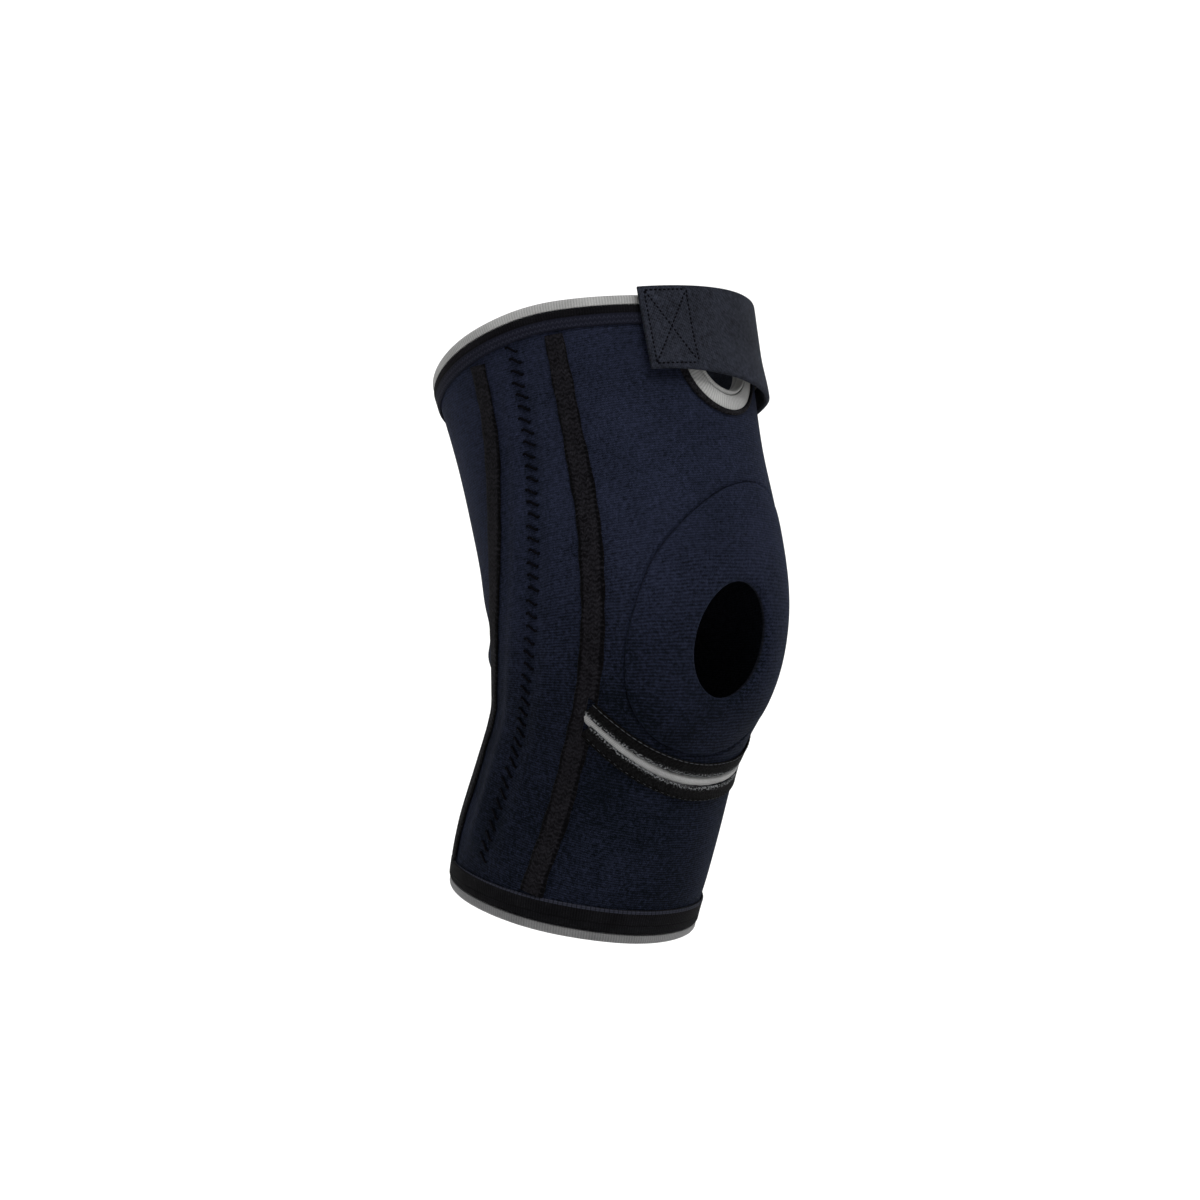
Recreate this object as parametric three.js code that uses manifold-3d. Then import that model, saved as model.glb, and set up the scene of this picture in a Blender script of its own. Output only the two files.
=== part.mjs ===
// Knee sleeve: a neoprene tube in the form it takes on a slightly bent knee, with an open
// kneecap, a stay channel down each side, a notch in the top rim and a short closing strap.
// Millimetres, +Z up, front towards -Y. The origin is the middle of the leg at the knee bend.
import * as THREE from 'three';
import Module from 'manifold-3d';

const wasm = await Module();
wasm.setup();

const DEG = Math.PI / 180;
const TURN = 2 * Math.PI;

// The leg line inside the sleeve: a straight shin, an arc at the knee, a straight thigh.
const SHIN_TILT = 19 * DEG;
const THIGH_TILT = 13 * DEG;
const SHIN_LENGTH = 64;
const THIGH_LENGTH = 110;
const BEND_RADIUS = 130;
const BEND_LENGTH = BEND_RADIUS * (SHIN_TILT + THIGH_TILT);
const LENGTH = SHIN_LENGTH + BEND_LENGTH + THIGH_LENGTH;
const KNEE_ALONG = SHIN_LENGTH + BEND_RADIUS * SHIN_TILT;

// The hollow at the knee, measured from the leg line.
const HALF_WIDTH = 61;
const FRONT_DEPTH = 61;
const BACK_DEPTH = 52;

// How the hollow changes along the sleeve, as shares of LENGTH and of the sizes at the knee.
const HOLLOW = [
  { along: -0.03, width: 0.80, front: 0.68, back: 1.08 },
  { along: 0.02, width: 0.80, front: 0.665, back: 1.11 },
  { along: 0.10, width: 0.82, front: 0.67, back: 1.12 },
  { along: 0.18, width: 0.82, front: 0.67, back: 1.10 },
  { along: 0.24, width: 0.83, front: 0.655, back: 1.06 },
  { along: 0.29, width: 0.845, front: 0.645, back: 1.02 },
  { along: 0.33, width: 0.885, front: 0.695, back: 0.985 },
  { along: 0.38, width: 0.95, front: 0.80, back: 0.985 },
  { along: 0.48, width: 1.01, front: 0.945, back: 1.00 },
  { along: 0.61, width: 1.01, front: 1.02, back: 1.01 },
  { along: 0.77, width: 0.99, front: 1.02, back: 1.08 },
  { along: 1.00, width: 1.06, front: 1.05, back: 1.22 },
];

// Seams: degrees round from the front, to the wearer's right and to the left.
const SEAMS = [
  { along: 0.00, frontRight: 67.5, rearRight: 128.5, frontLeft: 68, rearLeft: 128 },
  { along: 0.30, frontRight: 61.5, rearRight: 122.5, frontLeft: 64, rearLeft: 123 },
  { along: 0.48, frontRight: 60.5, rearRight: 115.5, frontLeft: 65, rearLeft: 117 },
  { along: 0.62, frontRight: 59, rearRight: 106, frontLeft: 69, rearLeft: 112 },
  { along: 0.80, frontRight: 59, rearRight: 94, frontLeft: 74, rearLeft: 109 },
  { along: 1.00, frontRight: 58, rearRight: 89.5, frontLeft: 77, rearLeft: 109 },
];

// Neoprene, tapes and the gap that parts two pieces.
const WALL = 4;
const GAP = 0.3;
const SEAM_GAP = 0.6;
const TAPE = 0.8;
const SEAM_TAPE_WIDTH = 10;
const TAPE_GAP = 0.45;
const TAPE_UNDER = WALL + TAPE_GAP;
const TAPE_TOP = TAPE_UNDER + TAPE;
const TAPE_SHORT = 1.2;

// Rims: both drop towards the back of the leg, where the calf hem is narrower. The thigh rim
// rises a little on its way from the notch to the sides and drops only behind them.
const RIM_RISE = 3.5;
const RIM_RISE_FROM = 10 * DEG;
const RIM_RISE_TO = 75 * DEG;
const RIM_DROP = 18;
const RIM_DROP_FROM = 55 * DEG;
const CALF_DROP = 8;
const BINDING_WIDTH = 4.4;
const BINDING_PROUD = 0.7;
const TOP_HEM_WIDTH = 8;
const BOTTOM_HEM_WIDTH = 11;
const BOTTOM_HEM_BACK = 7;

// Notch in the top rim, as far as the outer edge of its binding.
const NOTCH_TURN = -8 * DEG;
const NOTCH_RADIUS = 24.3;
const NOTCH_DEPTH = 48;
const NOTCH_BINDING_WIDTH = 8.8;
const NOTCH_ROLL_WIDTH = 2.6;
const NOTCH_TAPE_WIDTH = 3.5;

// Kneecap pad: an egg-shaped cushion that leans with the thigh, and the hole through it.
const PAD_TURN = -5 * DEG;
const PAD_ALONG = KNEE_ALONG + 16.5;
const PAD_HALF_TURN = 50 * DEG;
const PAD_HALF_LENGTH = 44.5;
const PAD_LEAN = 8 * DEG;
const PAD_TAPER = 0.18;
const PAD_RISE = 1.5;
const PAD_GAP = 0.5;
const HOLE_TURN = 1 * DEG;
const HOLE_ALONG = PAD_ALONG - 10;
const HOLE_HALF_TURN = 19.5 * DEG;
const HOLE_HALF_LENGTH = 16.5;
const HOLE_LEAN = 1.5 * DEG;

// Piped seam below the pad.
const PIPING_WIDTH = 4;
const PIPING_TAPE_WIDTH = 6.2;
const PIPING_CLEARANCE = 0.9;
const PIPING_BELOW = PIPING_WIDTH / 2 + GAP + PIPING_TAPE_WIDTH + PIPING_CLEARANCE;
const PIPING_ALONG = PAD_ALONG - PAD_HALF_LENGTH - PIPING_BELOW;
const PIPING_TURN = -12 * DEG;
const PIPING_REACH = 68 * DEG;
const PIPING_RISE = 17;
const PIPING_POWER = 2.4;
const PIPING_PROUD = 1.1;
const PIPING_SLANT = 0.3;
const PIPING_END = SEAM_GAP / 2 + GAP;

// Two stays lie side by side in each side panel and lift its face.
const STAY_RISE = 1.3;
const STAY_FROM = 0.18;
const STAY_TO = 0.46;
const STAY_FADE = 26;

// Folds behind the knee.
const FOLD_ALONG = KNEE_ALONG + 3;
const FOLD_REACH = 30;
const FOLD_PITCH = 34;
const FOLD_RISE = 2;
const FOLD_FROM = -0.5;
const FOLD_FULL = -0.85;

// Closing strap, sewn down beside the notch and closed on the far side of it.
const STRAP_WIDTH = 34.5;
const STRAP_FLARE = 8;
const STRAP_THICKNESS = 2;
const STRAP_SEWN_TURN = 27.5 * DEG;
const STRAP_END_TURN = -68 * DEG;
const STRAP_ALONG = LENGTH - 14.6;
const STRAP_DROP = 4.3;
const STRAP_LEVEL_TURN = -41 * DEG;
const STRAP_CLEARANCE = 1.4;
const STRAP_LIFT = 3;
const STRAP_CORNER = 9;
const HOOK_TAB_LENGTH = 24;
const HOOK_TAB_WIDTH = 20;
const HOOK_TAB_SETBACK = 5;

// Facets: stations along lie closer in the crook below the knee.
const PANEL_STATION = 12.5;
const TAPE_STATION = 11;
const CROOK_ALONG = SHIN_LENGTH + 14;
const CROOK_REACH = 24;
const CROOK_SHARE = 0.4;
const RING_STATIONS = 40;
const PAD_STATIONS = 34;
const STRAP_STATIONS = 17;

const CLOTH = {
  navy: { color: 0x1d2238, roughness: 0.85 },
  black: { color: 0x15161b, roughness: 0.9 },
  gray: { color: 0xc9cbcd, roughness: 0.8 },
  charcoal: { color: 0x262a33, roughness: 0.85 },
};

function lerp(from, to, share) {
  return from + (to - from) * share;
}

function smooth(x) {
  const t = Math.min(Math.max(x, 0), 1);
  return t * t * (3 - 2 * t);
}

function spread(count, from, to) {
  return Array.from({ length: count }, (_, i) => lerp(from, to, i / (count - 1)));
}

// Shares of the way from one place along to another, a station apart or closer in the crook.
function stations(from, to, station, crook = CROOK_SHARE) {
  const places = [];
  for (let s = from; s < to - station / 3;) {
    places.push((s - from) / (to - from));
    s += Math.abs(s - CROOK_ALONG) < CROOK_REACH ? station * crook : station;
  }
  return [...places, 1];
}

// A smooth value from a table: each row's slope is the mean of the two beside it.
function fromTable(table, column, along) {
  const x = Math.min(Math.max(along, table[0].along), 1);
  const secant = (i) => (table[i + 1][column] - table[i][column]) / (table[i + 1].along - table[i].along);
  const slope = (i) => {
    if (i === 0) return secant(0);
    if (i === table.length - 1) return secant(i - 1);
    const back = table[i].along - table[i - 1].along;
    const ahead = table[i + 1].along - table[i].along;
    return (back * secant(i) + ahead * secant(i - 1)) / (back + ahead);
  };
  const i = Math.min(table.findLastIndex((row) => row.along <= x), table.length - 2);
  const gap = table[i + 1].along - table[i].along;
  const t = (x - table[i].along) / gap;
  return (2 * t ** 3 - 3 * t ** 2 + 1) * table[i][column]
    + (t ** 3 - 2 * t ** 2 + t) * gap * slope(i)
    + (3 * t ** 2 - 2 * t ** 3) * table[i + 1][column]
    + (t ** 3 - t ** 2) * gap * slope(i + 1);
}

// The leg line at a length s from its lower end, with its lean there.
function legLine(s) {
  const bend = Math.min(Math.max(s - SHIN_LENGTH, 0), BEND_LENGTH);
  const lean = bend / BEND_RADIUS - SHIN_TILT;
  const straight = Math.min(s - SHIN_LENGTH, 0) + Math.max(s - SHIN_LENGTH - BEND_LENGTH, 0);
  return {
    lean,
    y: BEND_RADIUS * (1 - Math.cos(lean)) + straight * Math.sin(lean),
    z: BEND_RADIUS * Math.sin(lean) + straight * Math.cos(lean),
  };
}

// Folds behind the knee push both faces of the back in and out.
function folds(u, s) {
  const behind = smooth((Math.cos(u) - FOLD_FROM) / (FOLD_FULL - FOLD_FROM));
  const near = Math.exp(-(((s - FOLD_ALONG) / FOLD_REACH) ** 2));
  return FOLD_RISE * behind * near * Math.cos(TURN * (s - FOLD_ALONG) / FOLD_PITCH);
}

// A point of the sleeve: u round from the front towards the right, s along, lift off the hollow.
function sleevePoint(u, s, lift) {
  const along = s / LENGTH;
  const out = lift + folds(u, s);
  const width = HALF_WIDTH * fromTable(HOLLOW, 'width', along) + out;
  const front = FRONT_DEPTH * fromTable(HOLLOW, 'front', along) + out;
  const back = BACK_DEPTH * fromTable(HOLLOW, 'back', along) + out;
  const leg = legLine(s);
  const ahead = (front + back) / 2 * Math.cos(u) + (front - back) / 2;
  return new THREE.Vector3(
    -width * Math.sin(u),
    leg.y - ahead * Math.cos(leg.lean),
    leg.z + ahead * Math.sin(leg.lean),
  );
}

// Millimetres to a radian round and to a millimetre along, on the outer face.
function scaleAt(u, s) {
  const small = 0.01;
  const here = sleevePoint(u, s, WALL);
  return {
    round: sleevePoint(u + small, s, WALL).distanceTo(here) / small,
    along: sleevePoint(u, s + small, WALL).distanceTo(here) / small,
  };
}

function rimAt(u) {
  const turn = Math.acos(Math.cos(u));
  const rise = smooth((turn - RIM_RISE_FROM) / (RIM_RISE_TO - RIM_RISE_FROM));
  const drop = smooth((turn - RIM_DROP_FROM) / (Math.PI - RIM_DROP_FROM));
  return LENGTH + RIM_RISE * rise - RIM_DROP * drop;
}

function calfRimAt(u) {
  return -CALF_DROP * (1 - Math.cos(u)) / 2;
}

function calfHemAt(u) {
  return lerp(BOTTOM_HEM_BACK, BOTTOM_HEM_WIDTH, (1 + Math.cos(u)) / 2);
}

// Where the panels begin above the calf binding.
function calfEdgeAt(u) {
  return calfRimAt(u) + BINDING_WIDTH + GAP;
}

function seamAt(name, s) {
  const degrees = fromTable(SEAMS, name, s / LENGTH);
  return (name.endsWith('Left') ? -degrees : degrees) * DEG;
}

function pipingAt(u) {
  const share = Math.abs(u - PIPING_TURN) / PIPING_REACH;
  return PIPING_ALONG + PIPING_RISE * share ** PIPING_POWER;
}

// A closed solid through stations; each holds a top row and an under row of equal length.
function solid(stations, closed = false) {
  const points = [];
  const faces = [];
  const columns = stations[0].top.length;
  const ring = 2 * columns;
  stations.forEach((station) => points.push(...station.top, ...[...station.under].reverse()));
  const quad = (a, b, c, d) => faces.push(a, b, c, a, c, d);
  const spans = closed ? stations.length : stations.length - 1;
  for (let i = 0; i < spans; i += 1) {
    const here = i * ring;
    const next = ((i + 1) % stations.length) * ring;
    for (let k = 0; k < ring; k += 1) {
      const side = (k + 1) % ring;
      quad(here + k, here + side, next + side, next + k);
    }
  }
  if (!closed) {
    const last = (stations.length - 1) * ring;
    for (let k = 0; k < columns - 1; k += 1) {
      quad(ring - 1 - k, ring - 2 - k, k + 1, k);
      quad(last + k, last + k + 1, last + ring - 2 - k, last + ring - 1 - k);
    }
  }
  return facingOut(points, faces);
}

function facingOut(points, faces) {
  let volume = 0;
  for (let i = 0; i < faces.length; i += 3) {
    const [a, b, c] = [points[faces[i]], points[faces[i + 1]], points[faces[i + 2]]];
    volume += a.dot(b.clone().cross(c));
  }
  const index = volume < 0 ? [...faces].reverse() : faces;
  const positions = new Float32Array(points.flatMap((p) => [p.x, p.y, p.z]));
  return { positions, index: new Uint32Array(index) };
}

function toManifold(body) {
  return new wasm.Manifold(new wasm.Mesh({
    numProp: 3, vertProperties: body.positions, triVerts: body.index,
  }));
}

function cut(body, ...cutters) {
  const left = cutters.reduce((rest, cutter) => rest.subtract(toManifold(cutter)), toManifold(body));
  const mesh = left.getMesh();
  return { positions: mesh.vertProperties, index: mesh.triVerts };
}

function named(name, body, cloth) {
  const geometry = new THREE.BufferGeometry();
  geometry.setAttribute('position', new THREE.BufferAttribute(new Float32Array(body.positions), 3));
  geometry.setIndex(new THREE.BufferAttribute(new Uint32Array(body.index), 1));
  geometry.computeVertexNormals();
  const mesh = new THREE.Mesh(geometry, new THREE.MeshStandardMaterial({ ...cloth, metalness: 0 }));
  mesh.name = name;
  return mesh;
}

// A panel between two side lines, which turn with s, and two end lines, which shift with u.
function panel({ left, right, low, high, columns, face = () => WALL, station = PANEL_STATION, crook }) {
  const place = (a, b) => {
    let u = 0;
    let s = lerp(low(0), high(0), b);
    for (let pass = 0; pass < 6; pass += 1) {
      u = lerp(left(s), right(s), a);
      s = lerp(low(u), high(u), b);
    }
    return { u, s };
  };
  const middle = (left(0) + right(0)) / 2;
  const rows = stations(low(middle), high(middle), station, crook);
  return solid(rows.map((b) => {
    const row = columns.map((a) => ({ a, ...place(a, b) }));
    return {
      top: row.map(({ a, u, s }) => sleevePoint(u, s, face(a, u, s))),
      under: row.map(({ u, s }) => sleevePoint(u, s, 0)),
    };
  }));
}

function seamSide(name, sign) {
  return (s) => seamAt(name, s) + sign * SEAM_GAP / 2 / scaleAt(seamAt(name, s), s).round;
}

// A ribbon along a line drawn on the sleeve. The section gives the under and top face's
// lift at places across; across counts to the left of the way the line runs, seen from outside.
function ribbon(line, section, closed = false) {
  const count = line.length;
  return solid(line.map((here, i) => {
    const before = line[closed ? (i + count - 1) % count : Math.max(i - 1, 0)];
    const after = line[closed ? (i + 1) % count : Math.min(i + 1, count - 1)];
    const size = scaleAt(here.u, here.s);
    const turned = THREE.MathUtils.euclideanModulo(after.u - before.u + Math.PI, TURN) - Math.PI;
    const run = new THREE.Vector2(turned * size.round, (after.s - before.s) * size.along).normalize();
    const place = (across, lift) => sleevePoint(
      here.u - run.y * across / size.round,
      here.s + run.x * across / size.along,
      lift,
    );
    const rows = section(i / (count - 1), here);
    return {
      top: rows.map((row) => place(row.across, row.top)),
      under: rows.map((row) => place(row.across, row.under)),
    };
  }), closed);
}

function tapeSection(width, columns, under = TAPE_UNDER, top = TAPE_TOP) {
  return () => spread(columns, -width / 2, width / 2).map((across) => ({ across, under, top }));
}

// Rounded on its free edge, flat where it meets the panel; sign tells which edge is free.
function bindingSection(width, sign) {
  const round = Math.min(width, WALL + 2 * BINDING_PROUD) / 2;
  const middle = WALL / 2;
  const half = middle + BINDING_PROUD;
  const bend = [75, 42, 6].map((angle) => angle * DEG);
  const rows = [
    { across: -width / 2, bulge: half },
    ...bend.map((angle) => ({
      across: width / 2 - round + round * Math.cos(angle), bulge: half * Math.sin(angle),
    })),
  ];
  return () => rows.map(({ across, bulge }) => ({
    across: sign * across, under: middle - bulge, top: middle + bulge,
  }));
}

// Front, side and back panels.
function upperFrontPanel() {
  const reach = (u) => pipingAt(u) + PIPING_WIDTH / 2 + GAP;
  const body = panel({
    left: seamSide('frontLeft', 1),
    right: seamSide('frontRight', -1),
    low: reach,
    high: (u) => rimAt(u) - BINDING_WIDTH - GAP,
    columns: spread(15, 0, 1),
  });
  return cut(body, notchCutter(), padCutter());
}

function lowerFrontPanel() {
  return panel({
    left: seamSide('frontLeft', 1),
    right: seamSide('frontRight', -1),
    low: calfEdgeAt,
    high: (u) => pipingAt(u) - PIPING_WIDTH / 2 - GAP,
    columns: spread(17, 0, 1),
    station: PANEL_STATION / 1.25,
  });
}

// Two humps over the stays, none under the tapes, the hems or the seam between them.
function stayFace(a, u, s) {
  const half = Math.min(a, 1 - a);
  const across = (half - STAY_FROM) / (STAY_TO - STAY_FROM);
  const hump = across > 0 && across < 1 ? Math.sin(Math.PI * across) ** 2 : 0;
  const low = calfEdgeAt(u) + calfHemAt(u) + GAP;
  const high = rimAt(u) - BINDING_WIDTH - TOP_HEM_WIDTH - 2 * GAP;
  const ends = smooth((s - low) / STAY_FADE) * smooth((high - s) / STAY_FADE);
  return WALL + STAY_RISE * hump * ends;
}

function sidePanel(front, rear) {
  const half = [0, STAY_FROM, lerp(STAY_FROM, STAY_TO, 0.35), lerp(STAY_FROM, STAY_TO, 0.65), STAY_TO];
  const inward = front.endsWith('Left') ? -1 : 1;
  return panel({
    left: seamSide(front, inward),
    right: seamSide(rear, -inward),
    low: calfEdgeAt,
    high: (u) => rimAt(u) - BINDING_WIDTH - GAP,
    columns: [...half, 0.5, ...half.map((a) => 1 - a).reverse()],
    face: stayFace,
  });
}

function backPanel() {
  const onward = seamSide('rearLeft', -1);
  return panel({
    left: seamSide('rearRight', 1),
    right: (s) => onward(s) + TURN,
    low: calfEdgeAt,
    high: (u) => rimAt(u) - BINDING_WIDTH - GAP,
    columns: spread(13, 0, 1),
    station: FOLD_PITCH / 4,
    crook: 1,
  });
}

// A cutter for an opening, given the two ends of each of its rows.
function cutter(rows) {
  return solid(rows.map(({ left, right }) => {
    const ends = spread(6, 0, 1).map((a) => [lerp(left.u, right.u, a), lerp(left.s, right.s, a)]);
    return {
      top: ends.map(([u, s]) => sleevePoint(u, s, WALL + 6)),
      under: ends.map(([u, s]) => sleevePoint(u, s, -6)),
    };
  }));
}

function notchCutter() {
  const radius = NOTCH_RADIUS + GAP;
  const centre = LENGTH - NOTCH_DEPTH + NOTCH_RADIUS;
  const bowl = spread(11, 3, 90).map((angle) => ({
    half: radius * Math.sin(angle * DEG), s: centre - radius * Math.cos(angle * DEG),
  }));
  const shaft = [0.25, 0.5, 0.75, 1].map((share) => ({ half: radius, s: lerp(centre, LENGTH + 6, share) }));
  return cutter([...bowl, ...shaft].map(({ half, s }) => {
    const reach = half / scaleAt(NOTCH_TURN, s).round;
    return { left: { u: NOTCH_TURN - reach, s }, right: { u: NOTCH_TURN + reach, s } };
  }));
}

// The pad's outline at an angle that counts from the right side upwards.
function padEdge(angle, grow = 0) {
  const rise = Math.sin(angle);
  const reach = PAD_HALF_TURN * (1 - PAD_TAPER * rise) + grow / HALF_WIDTH;
  return {
    u: PAD_TURN - PAD_LEAN * rise + reach * Math.cos(angle),
    s: PAD_ALONG + (PAD_HALF_LENGTH + grow) * rise,
  };
}

function holeEdge(angle) {
  return {
    u: HOLE_TURN - HOLE_LEAN * Math.sin(angle) + HOLE_HALF_TURN * Math.cos(angle),
    s: HOLE_ALONG + HOLE_HALF_LENGTH * Math.sin(angle),
  };
}

function padCutter() {
  return cutter(spread(25, -86, 86).map((angle) => ({
    left: padEdge(Math.PI - angle * DEG, PAD_GAP), right: padEdge(angle * DEG, PAD_GAP),
  })));
}

// From the rolled edge of the hole over the cushion to the groove round it.
function patellaPad() {
  const section = [
    { share: 0.00, under: 1.1, top: WALL * 0.5 },
    { share: 0.05, under: 0.2, top: WALL * 0.95 },
    { share: 0.12, under: 0, top: WALL + PAD_RISE * 0.4 },
    { share: 0.28, under: 0, top: WALL + PAD_RISE * 0.9 },
    { share: 0.58, under: 0, top: WALL + PAD_RISE },
    { share: 0.90, under: 0, top: WALL + PAD_RISE * 0.4 },
    { share: 1.00, under: 0, top: WALL - 0.3 },
  ];
  return solid(Array.from({ length: PAD_STATIONS }, (_, i) => {
    const angle = TURN * i / PAD_STATIONS;
    const hole = holeEdge(angle);
    const edge = padEdge(angle);
    const place = (share, lift) => sleevePoint(
      lerp(hole.u, edge.u, share), lerp(hole.s, edge.s, share), lift,
    );
    return {
      top: section.map(({ share, top }) => place(share, top)),
      under: section.map(({ share, under }) => place(share, under)),
    };
  }), true);
}

// Tapes over the long seams, between the two hems; the front ones give way to the piping.
function seamTape(name) {
  const foot = seamAt(name, 0);
  const from = calfEdgeAt(foot) + calfHemAt(foot) + TAPE_SHORT;
  const u = seamAt(name, LENGTH - 2 * TOP_HEM_WIDTH);
  const half = SEAM_TAPE_WIDTH / 2 / HALF_WIDTH;
  const rim = Math.min(rimAt(u - half), rimAt(u + half));
  const to = rim - BINDING_WIDTH - TOP_HEM_WIDTH - GAP - TAPE_SHORT;
  const places = stations(from, to, TAPE_STATION).map((share) => lerp(from, to, share));
  const tape = ribbon(places.map((s) => ({ u: seamAt(name, s), s })), tapeSection(SEAM_TAPE_WIDTH, 3));
  return name.startsWith('front') ? cut(tape, ...pipingCutters()) : tape;
}

// A line that follows the piped seam at a distance, from one front seam to the other.
function pipingLine(distance, width, clear = PIPING_END + width * PIPING_SLANT) {
  const end = (name, sign) => {
    let u = seamAt(name, pipingAt(0));
    for (let pass = 0; pass < 8; pass += 1) {
      const s = pipingAt(u) + distance;
      u = seamAt(name, s) - sign * clear / scaleAt(u, s).round;
    }
    return u;
  };
  const turns = spread(25, end('frontLeft', -1), end('frontRight', 1));
  return turns.map((u) => ({ u, s: pipingAt(u) + distance }));
}

function piping() {
  const arc = spread(5, 180, 0).map((angle) => angle * DEG);
  const under = WALL * 0.25;
  return ribbon(pipingLine(0, PIPING_WIDTH), () => arc.map((angle) => ({
    across: PIPING_WIDTH / 2 * Math.cos(angle),
    under,
    top: WALL * 0.7 + (WALL * 0.3 + PIPING_PROUD) * Math.sin(angle),
  })));
}

const PIPING_TAPE_AWAY = PIPING_WIDTH / 2 + GAP + PIPING_TAPE_WIDTH / 2;

function pipingTape(side) {
  return ribbon(pipingLine(side * PIPING_TAPE_AWAY, PIPING_TAPE_WIDTH), tapeSection(PIPING_TAPE_WIDTH, 2));
}

// What the piping and its tapes clear out of the front seam tapes.
function pipingCutters() {
  const strips = [
    { distance: 0, width: PIPING_WIDTH },
    { distance: PIPING_TAPE_AWAY, width: PIPING_TAPE_WIDTH },
    { distance: -PIPING_TAPE_AWAY, width: PIPING_TAPE_WIDTH },
  ];
  return strips.map(({ distance, width }) => {
    const line = pipingLine(distance, width, PIPING_END + width * PIPING_SLANT - GAP);
    return ribbon(line, tapeSection(width + 2 * GAP, 2, WALL / 2, TAPE_TOP + 2));
  });
}

// The notch's U at a distance out from its middle line, from the right arm to the left.
function notchLine(radius, top) {
  const centre = LENGTH - NOTCH_DEPTH + NOTCH_RADIUS;
  const arm = [0, 1 / 3, 2 / 3];
  const right = arm.map((share) => ({ x: radius, s: lerp(top, centre, share) }));
  const bowl = spread(15, 0, -180).map((angle) => ({
    x: radius * Math.cos(angle * DEG), s: centre + radius * Math.sin(angle * DEG),
  }));
  const left = [...right].reverse().map(({ x, s }) => ({ x: -x, s }));
  return [...right, ...bowl, ...left].map(({ x, s }) => ({
    u: NOTCH_TURN + x / scaleAt(NOTCH_TURN, s).round, s,
  }));
}

// A flat stitched band, a groove and a rolled edge towards the opening.
function notchBinding() {
  const edge = NOTCH_BINDING_WIDTH / 2;
  const band = -edge + NOTCH_ROLL_WIDTH + 0.7;
  const roll = -edge + NOTCH_ROLL_WIDTH / 2;
  const proud = WALL + BINDING_PROUD;
  const section = [
    { across: -edge, under: WALL * 0.35, top: WALL * 0.65 },
    { across: -edge + 0.4, under: 0.2, top: proud - 0.6 },
    { across: roll, under: -BINDING_PROUD, top: proud + 0.2 },
    { across: -edge + NOTCH_ROLL_WIDTH, under: -BINDING_PROUD, top: WALL },
    { across: band, under: -BINDING_PROUD, top: proud },
    { across: edge, under: -BINDING_PROUD, top: proud },
  ];
  return ribbon(notchLine(NOTCH_RADIUS - edge, LENGTH), () => section);
}

function notchTape() {
  const radius = NOTCH_RADIUS + GAP + NOTCH_TAPE_WIDTH / 2;
  const top = rimAt(NOTCH_TURN - radius / HALF_WIDTH) - BINDING_WIDTH - TAPE_SHORT;
  return ribbon(notchLine(radius, top), tapeSection(NOTCH_TAPE_WIDTH, 2));
}

// A line round the thigh below the rim, from one side of the notch to the other.
function rimLine(below, clear) {
  const reach = (NOTCH_RADIUS + clear) / scaleAt(NOTCH_TURN, LENGTH).round;
  const turns = spread(RING_STATIONS, NOTCH_TURN + reach, NOTCH_TURN + TURN - reach);
  return turns.map((u) => ({ u, s: rimAt(u) - below }));
}

function topBinding() {
  return ribbon(rimLine(BINDING_WIDTH / 2, 2 * GAP), bindingSection(BINDING_WIDTH, 1));
}

function topHemTape() {
  const below = BINDING_WIDTH + GAP + TOP_HEM_WIDTH / 2;
  return ribbon(rimLine(below, 2 * GAP + NOTCH_TAPE_WIDTH + TAPE_SHORT), tapeSection(TOP_HEM_WIDTH, 2));
}

// A line round the calf at a height over the rim that may change with u.
function calfLine(above) {
  const turns = Array.from({ length: RING_STATIONS }, (_, i) => TURN * i / RING_STATIONS);
  return turns.map((u) => ({ u, s: calfRimAt(u) + above(u) }));
}

function bottomBinding() {
  return ribbon(calfLine(() => BINDING_WIDTH / 2), bindingSection(BINDING_WIDTH, -1), true);
}

function bottomHemTape() {
  const line = calfLine((u) => BINDING_WIDTH + GAP + calfHemAt(u) / 2);
  return ribbon(line, (_, { u }) => tapeSection(calfHemAt(u), 2)(), true);
}

// How far the strap has sunk and widened on its way from the sewn end, from 0 to 1.
function strapSpread(u) {
  return smooth((STRAP_SEWN_TURN - u) / (STRAP_SEWN_TURN - STRAP_LEVEL_TURN));
}

function strapLine(count, from, to) {
  return spread(count, from, to).map((u) => ({ u, s: STRAP_ALONG - STRAP_DROP * strapSpread(u) }));
}

// The free end has rounded corners, and the lower edge stands off where the strap leaves the front.
function strapSection(share) {
  const length = (STRAP_SEWN_TURN - STRAP_END_TURN) * (HALF_WIDTH + WALL);
  const left = Math.max(STRAP_CORNER - (1 - share) * length, 0) / STRAP_CORNER;
  const flare = STRAP_FLARE * strapSpread(lerp(STRAP_SEWN_TURN, STRAP_END_TURN, share));
  const half = (STRAP_WIDTH + flare) / 2 - STRAP_CORNER * (1 - Math.sqrt(1 - left ** 2 * 0.96));
  const loose = Math.sin(Math.PI * Math.min(share / 0.9, 1)) ** 2;
  return spread(6, -1, 1).map((across) => {
    const lift = STRAP_LIFT * loose * smooth(across);
    const under = TAPE_TOP + STRAP_CLEARANCE + lift;
    return { across: across * half, under, top: under + STRAP_THICKNESS };
  });
}

function strap() {
  return ribbon(strapLine(STRAP_STATIONS, STRAP_SEWN_TURN, STRAP_END_TURN), strapSection);
}

function hookTab() {
  const size = scaleAt(STRAP_END_TURN, STRAP_ALONG).round;
  const to = STRAP_END_TURN + HOOK_TAB_SETBACK / size;
  const below = BINDING_WIDTH + TOP_HEM_WIDTH + GAP + TAPE_SHORT + HOOK_TAB_WIDTH / 2;
  const line = spread(6, to + HOOK_TAB_LENGTH / size, to).map((u) => ({ u, s: rimAt(u) - below }));
  return ribbon(line, tapeSection(HOOK_TAB_WIDTH, 3, TAPE_UNDER, TAPE_TOP + STRAP_CLEARANCE - GAP));
}

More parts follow.
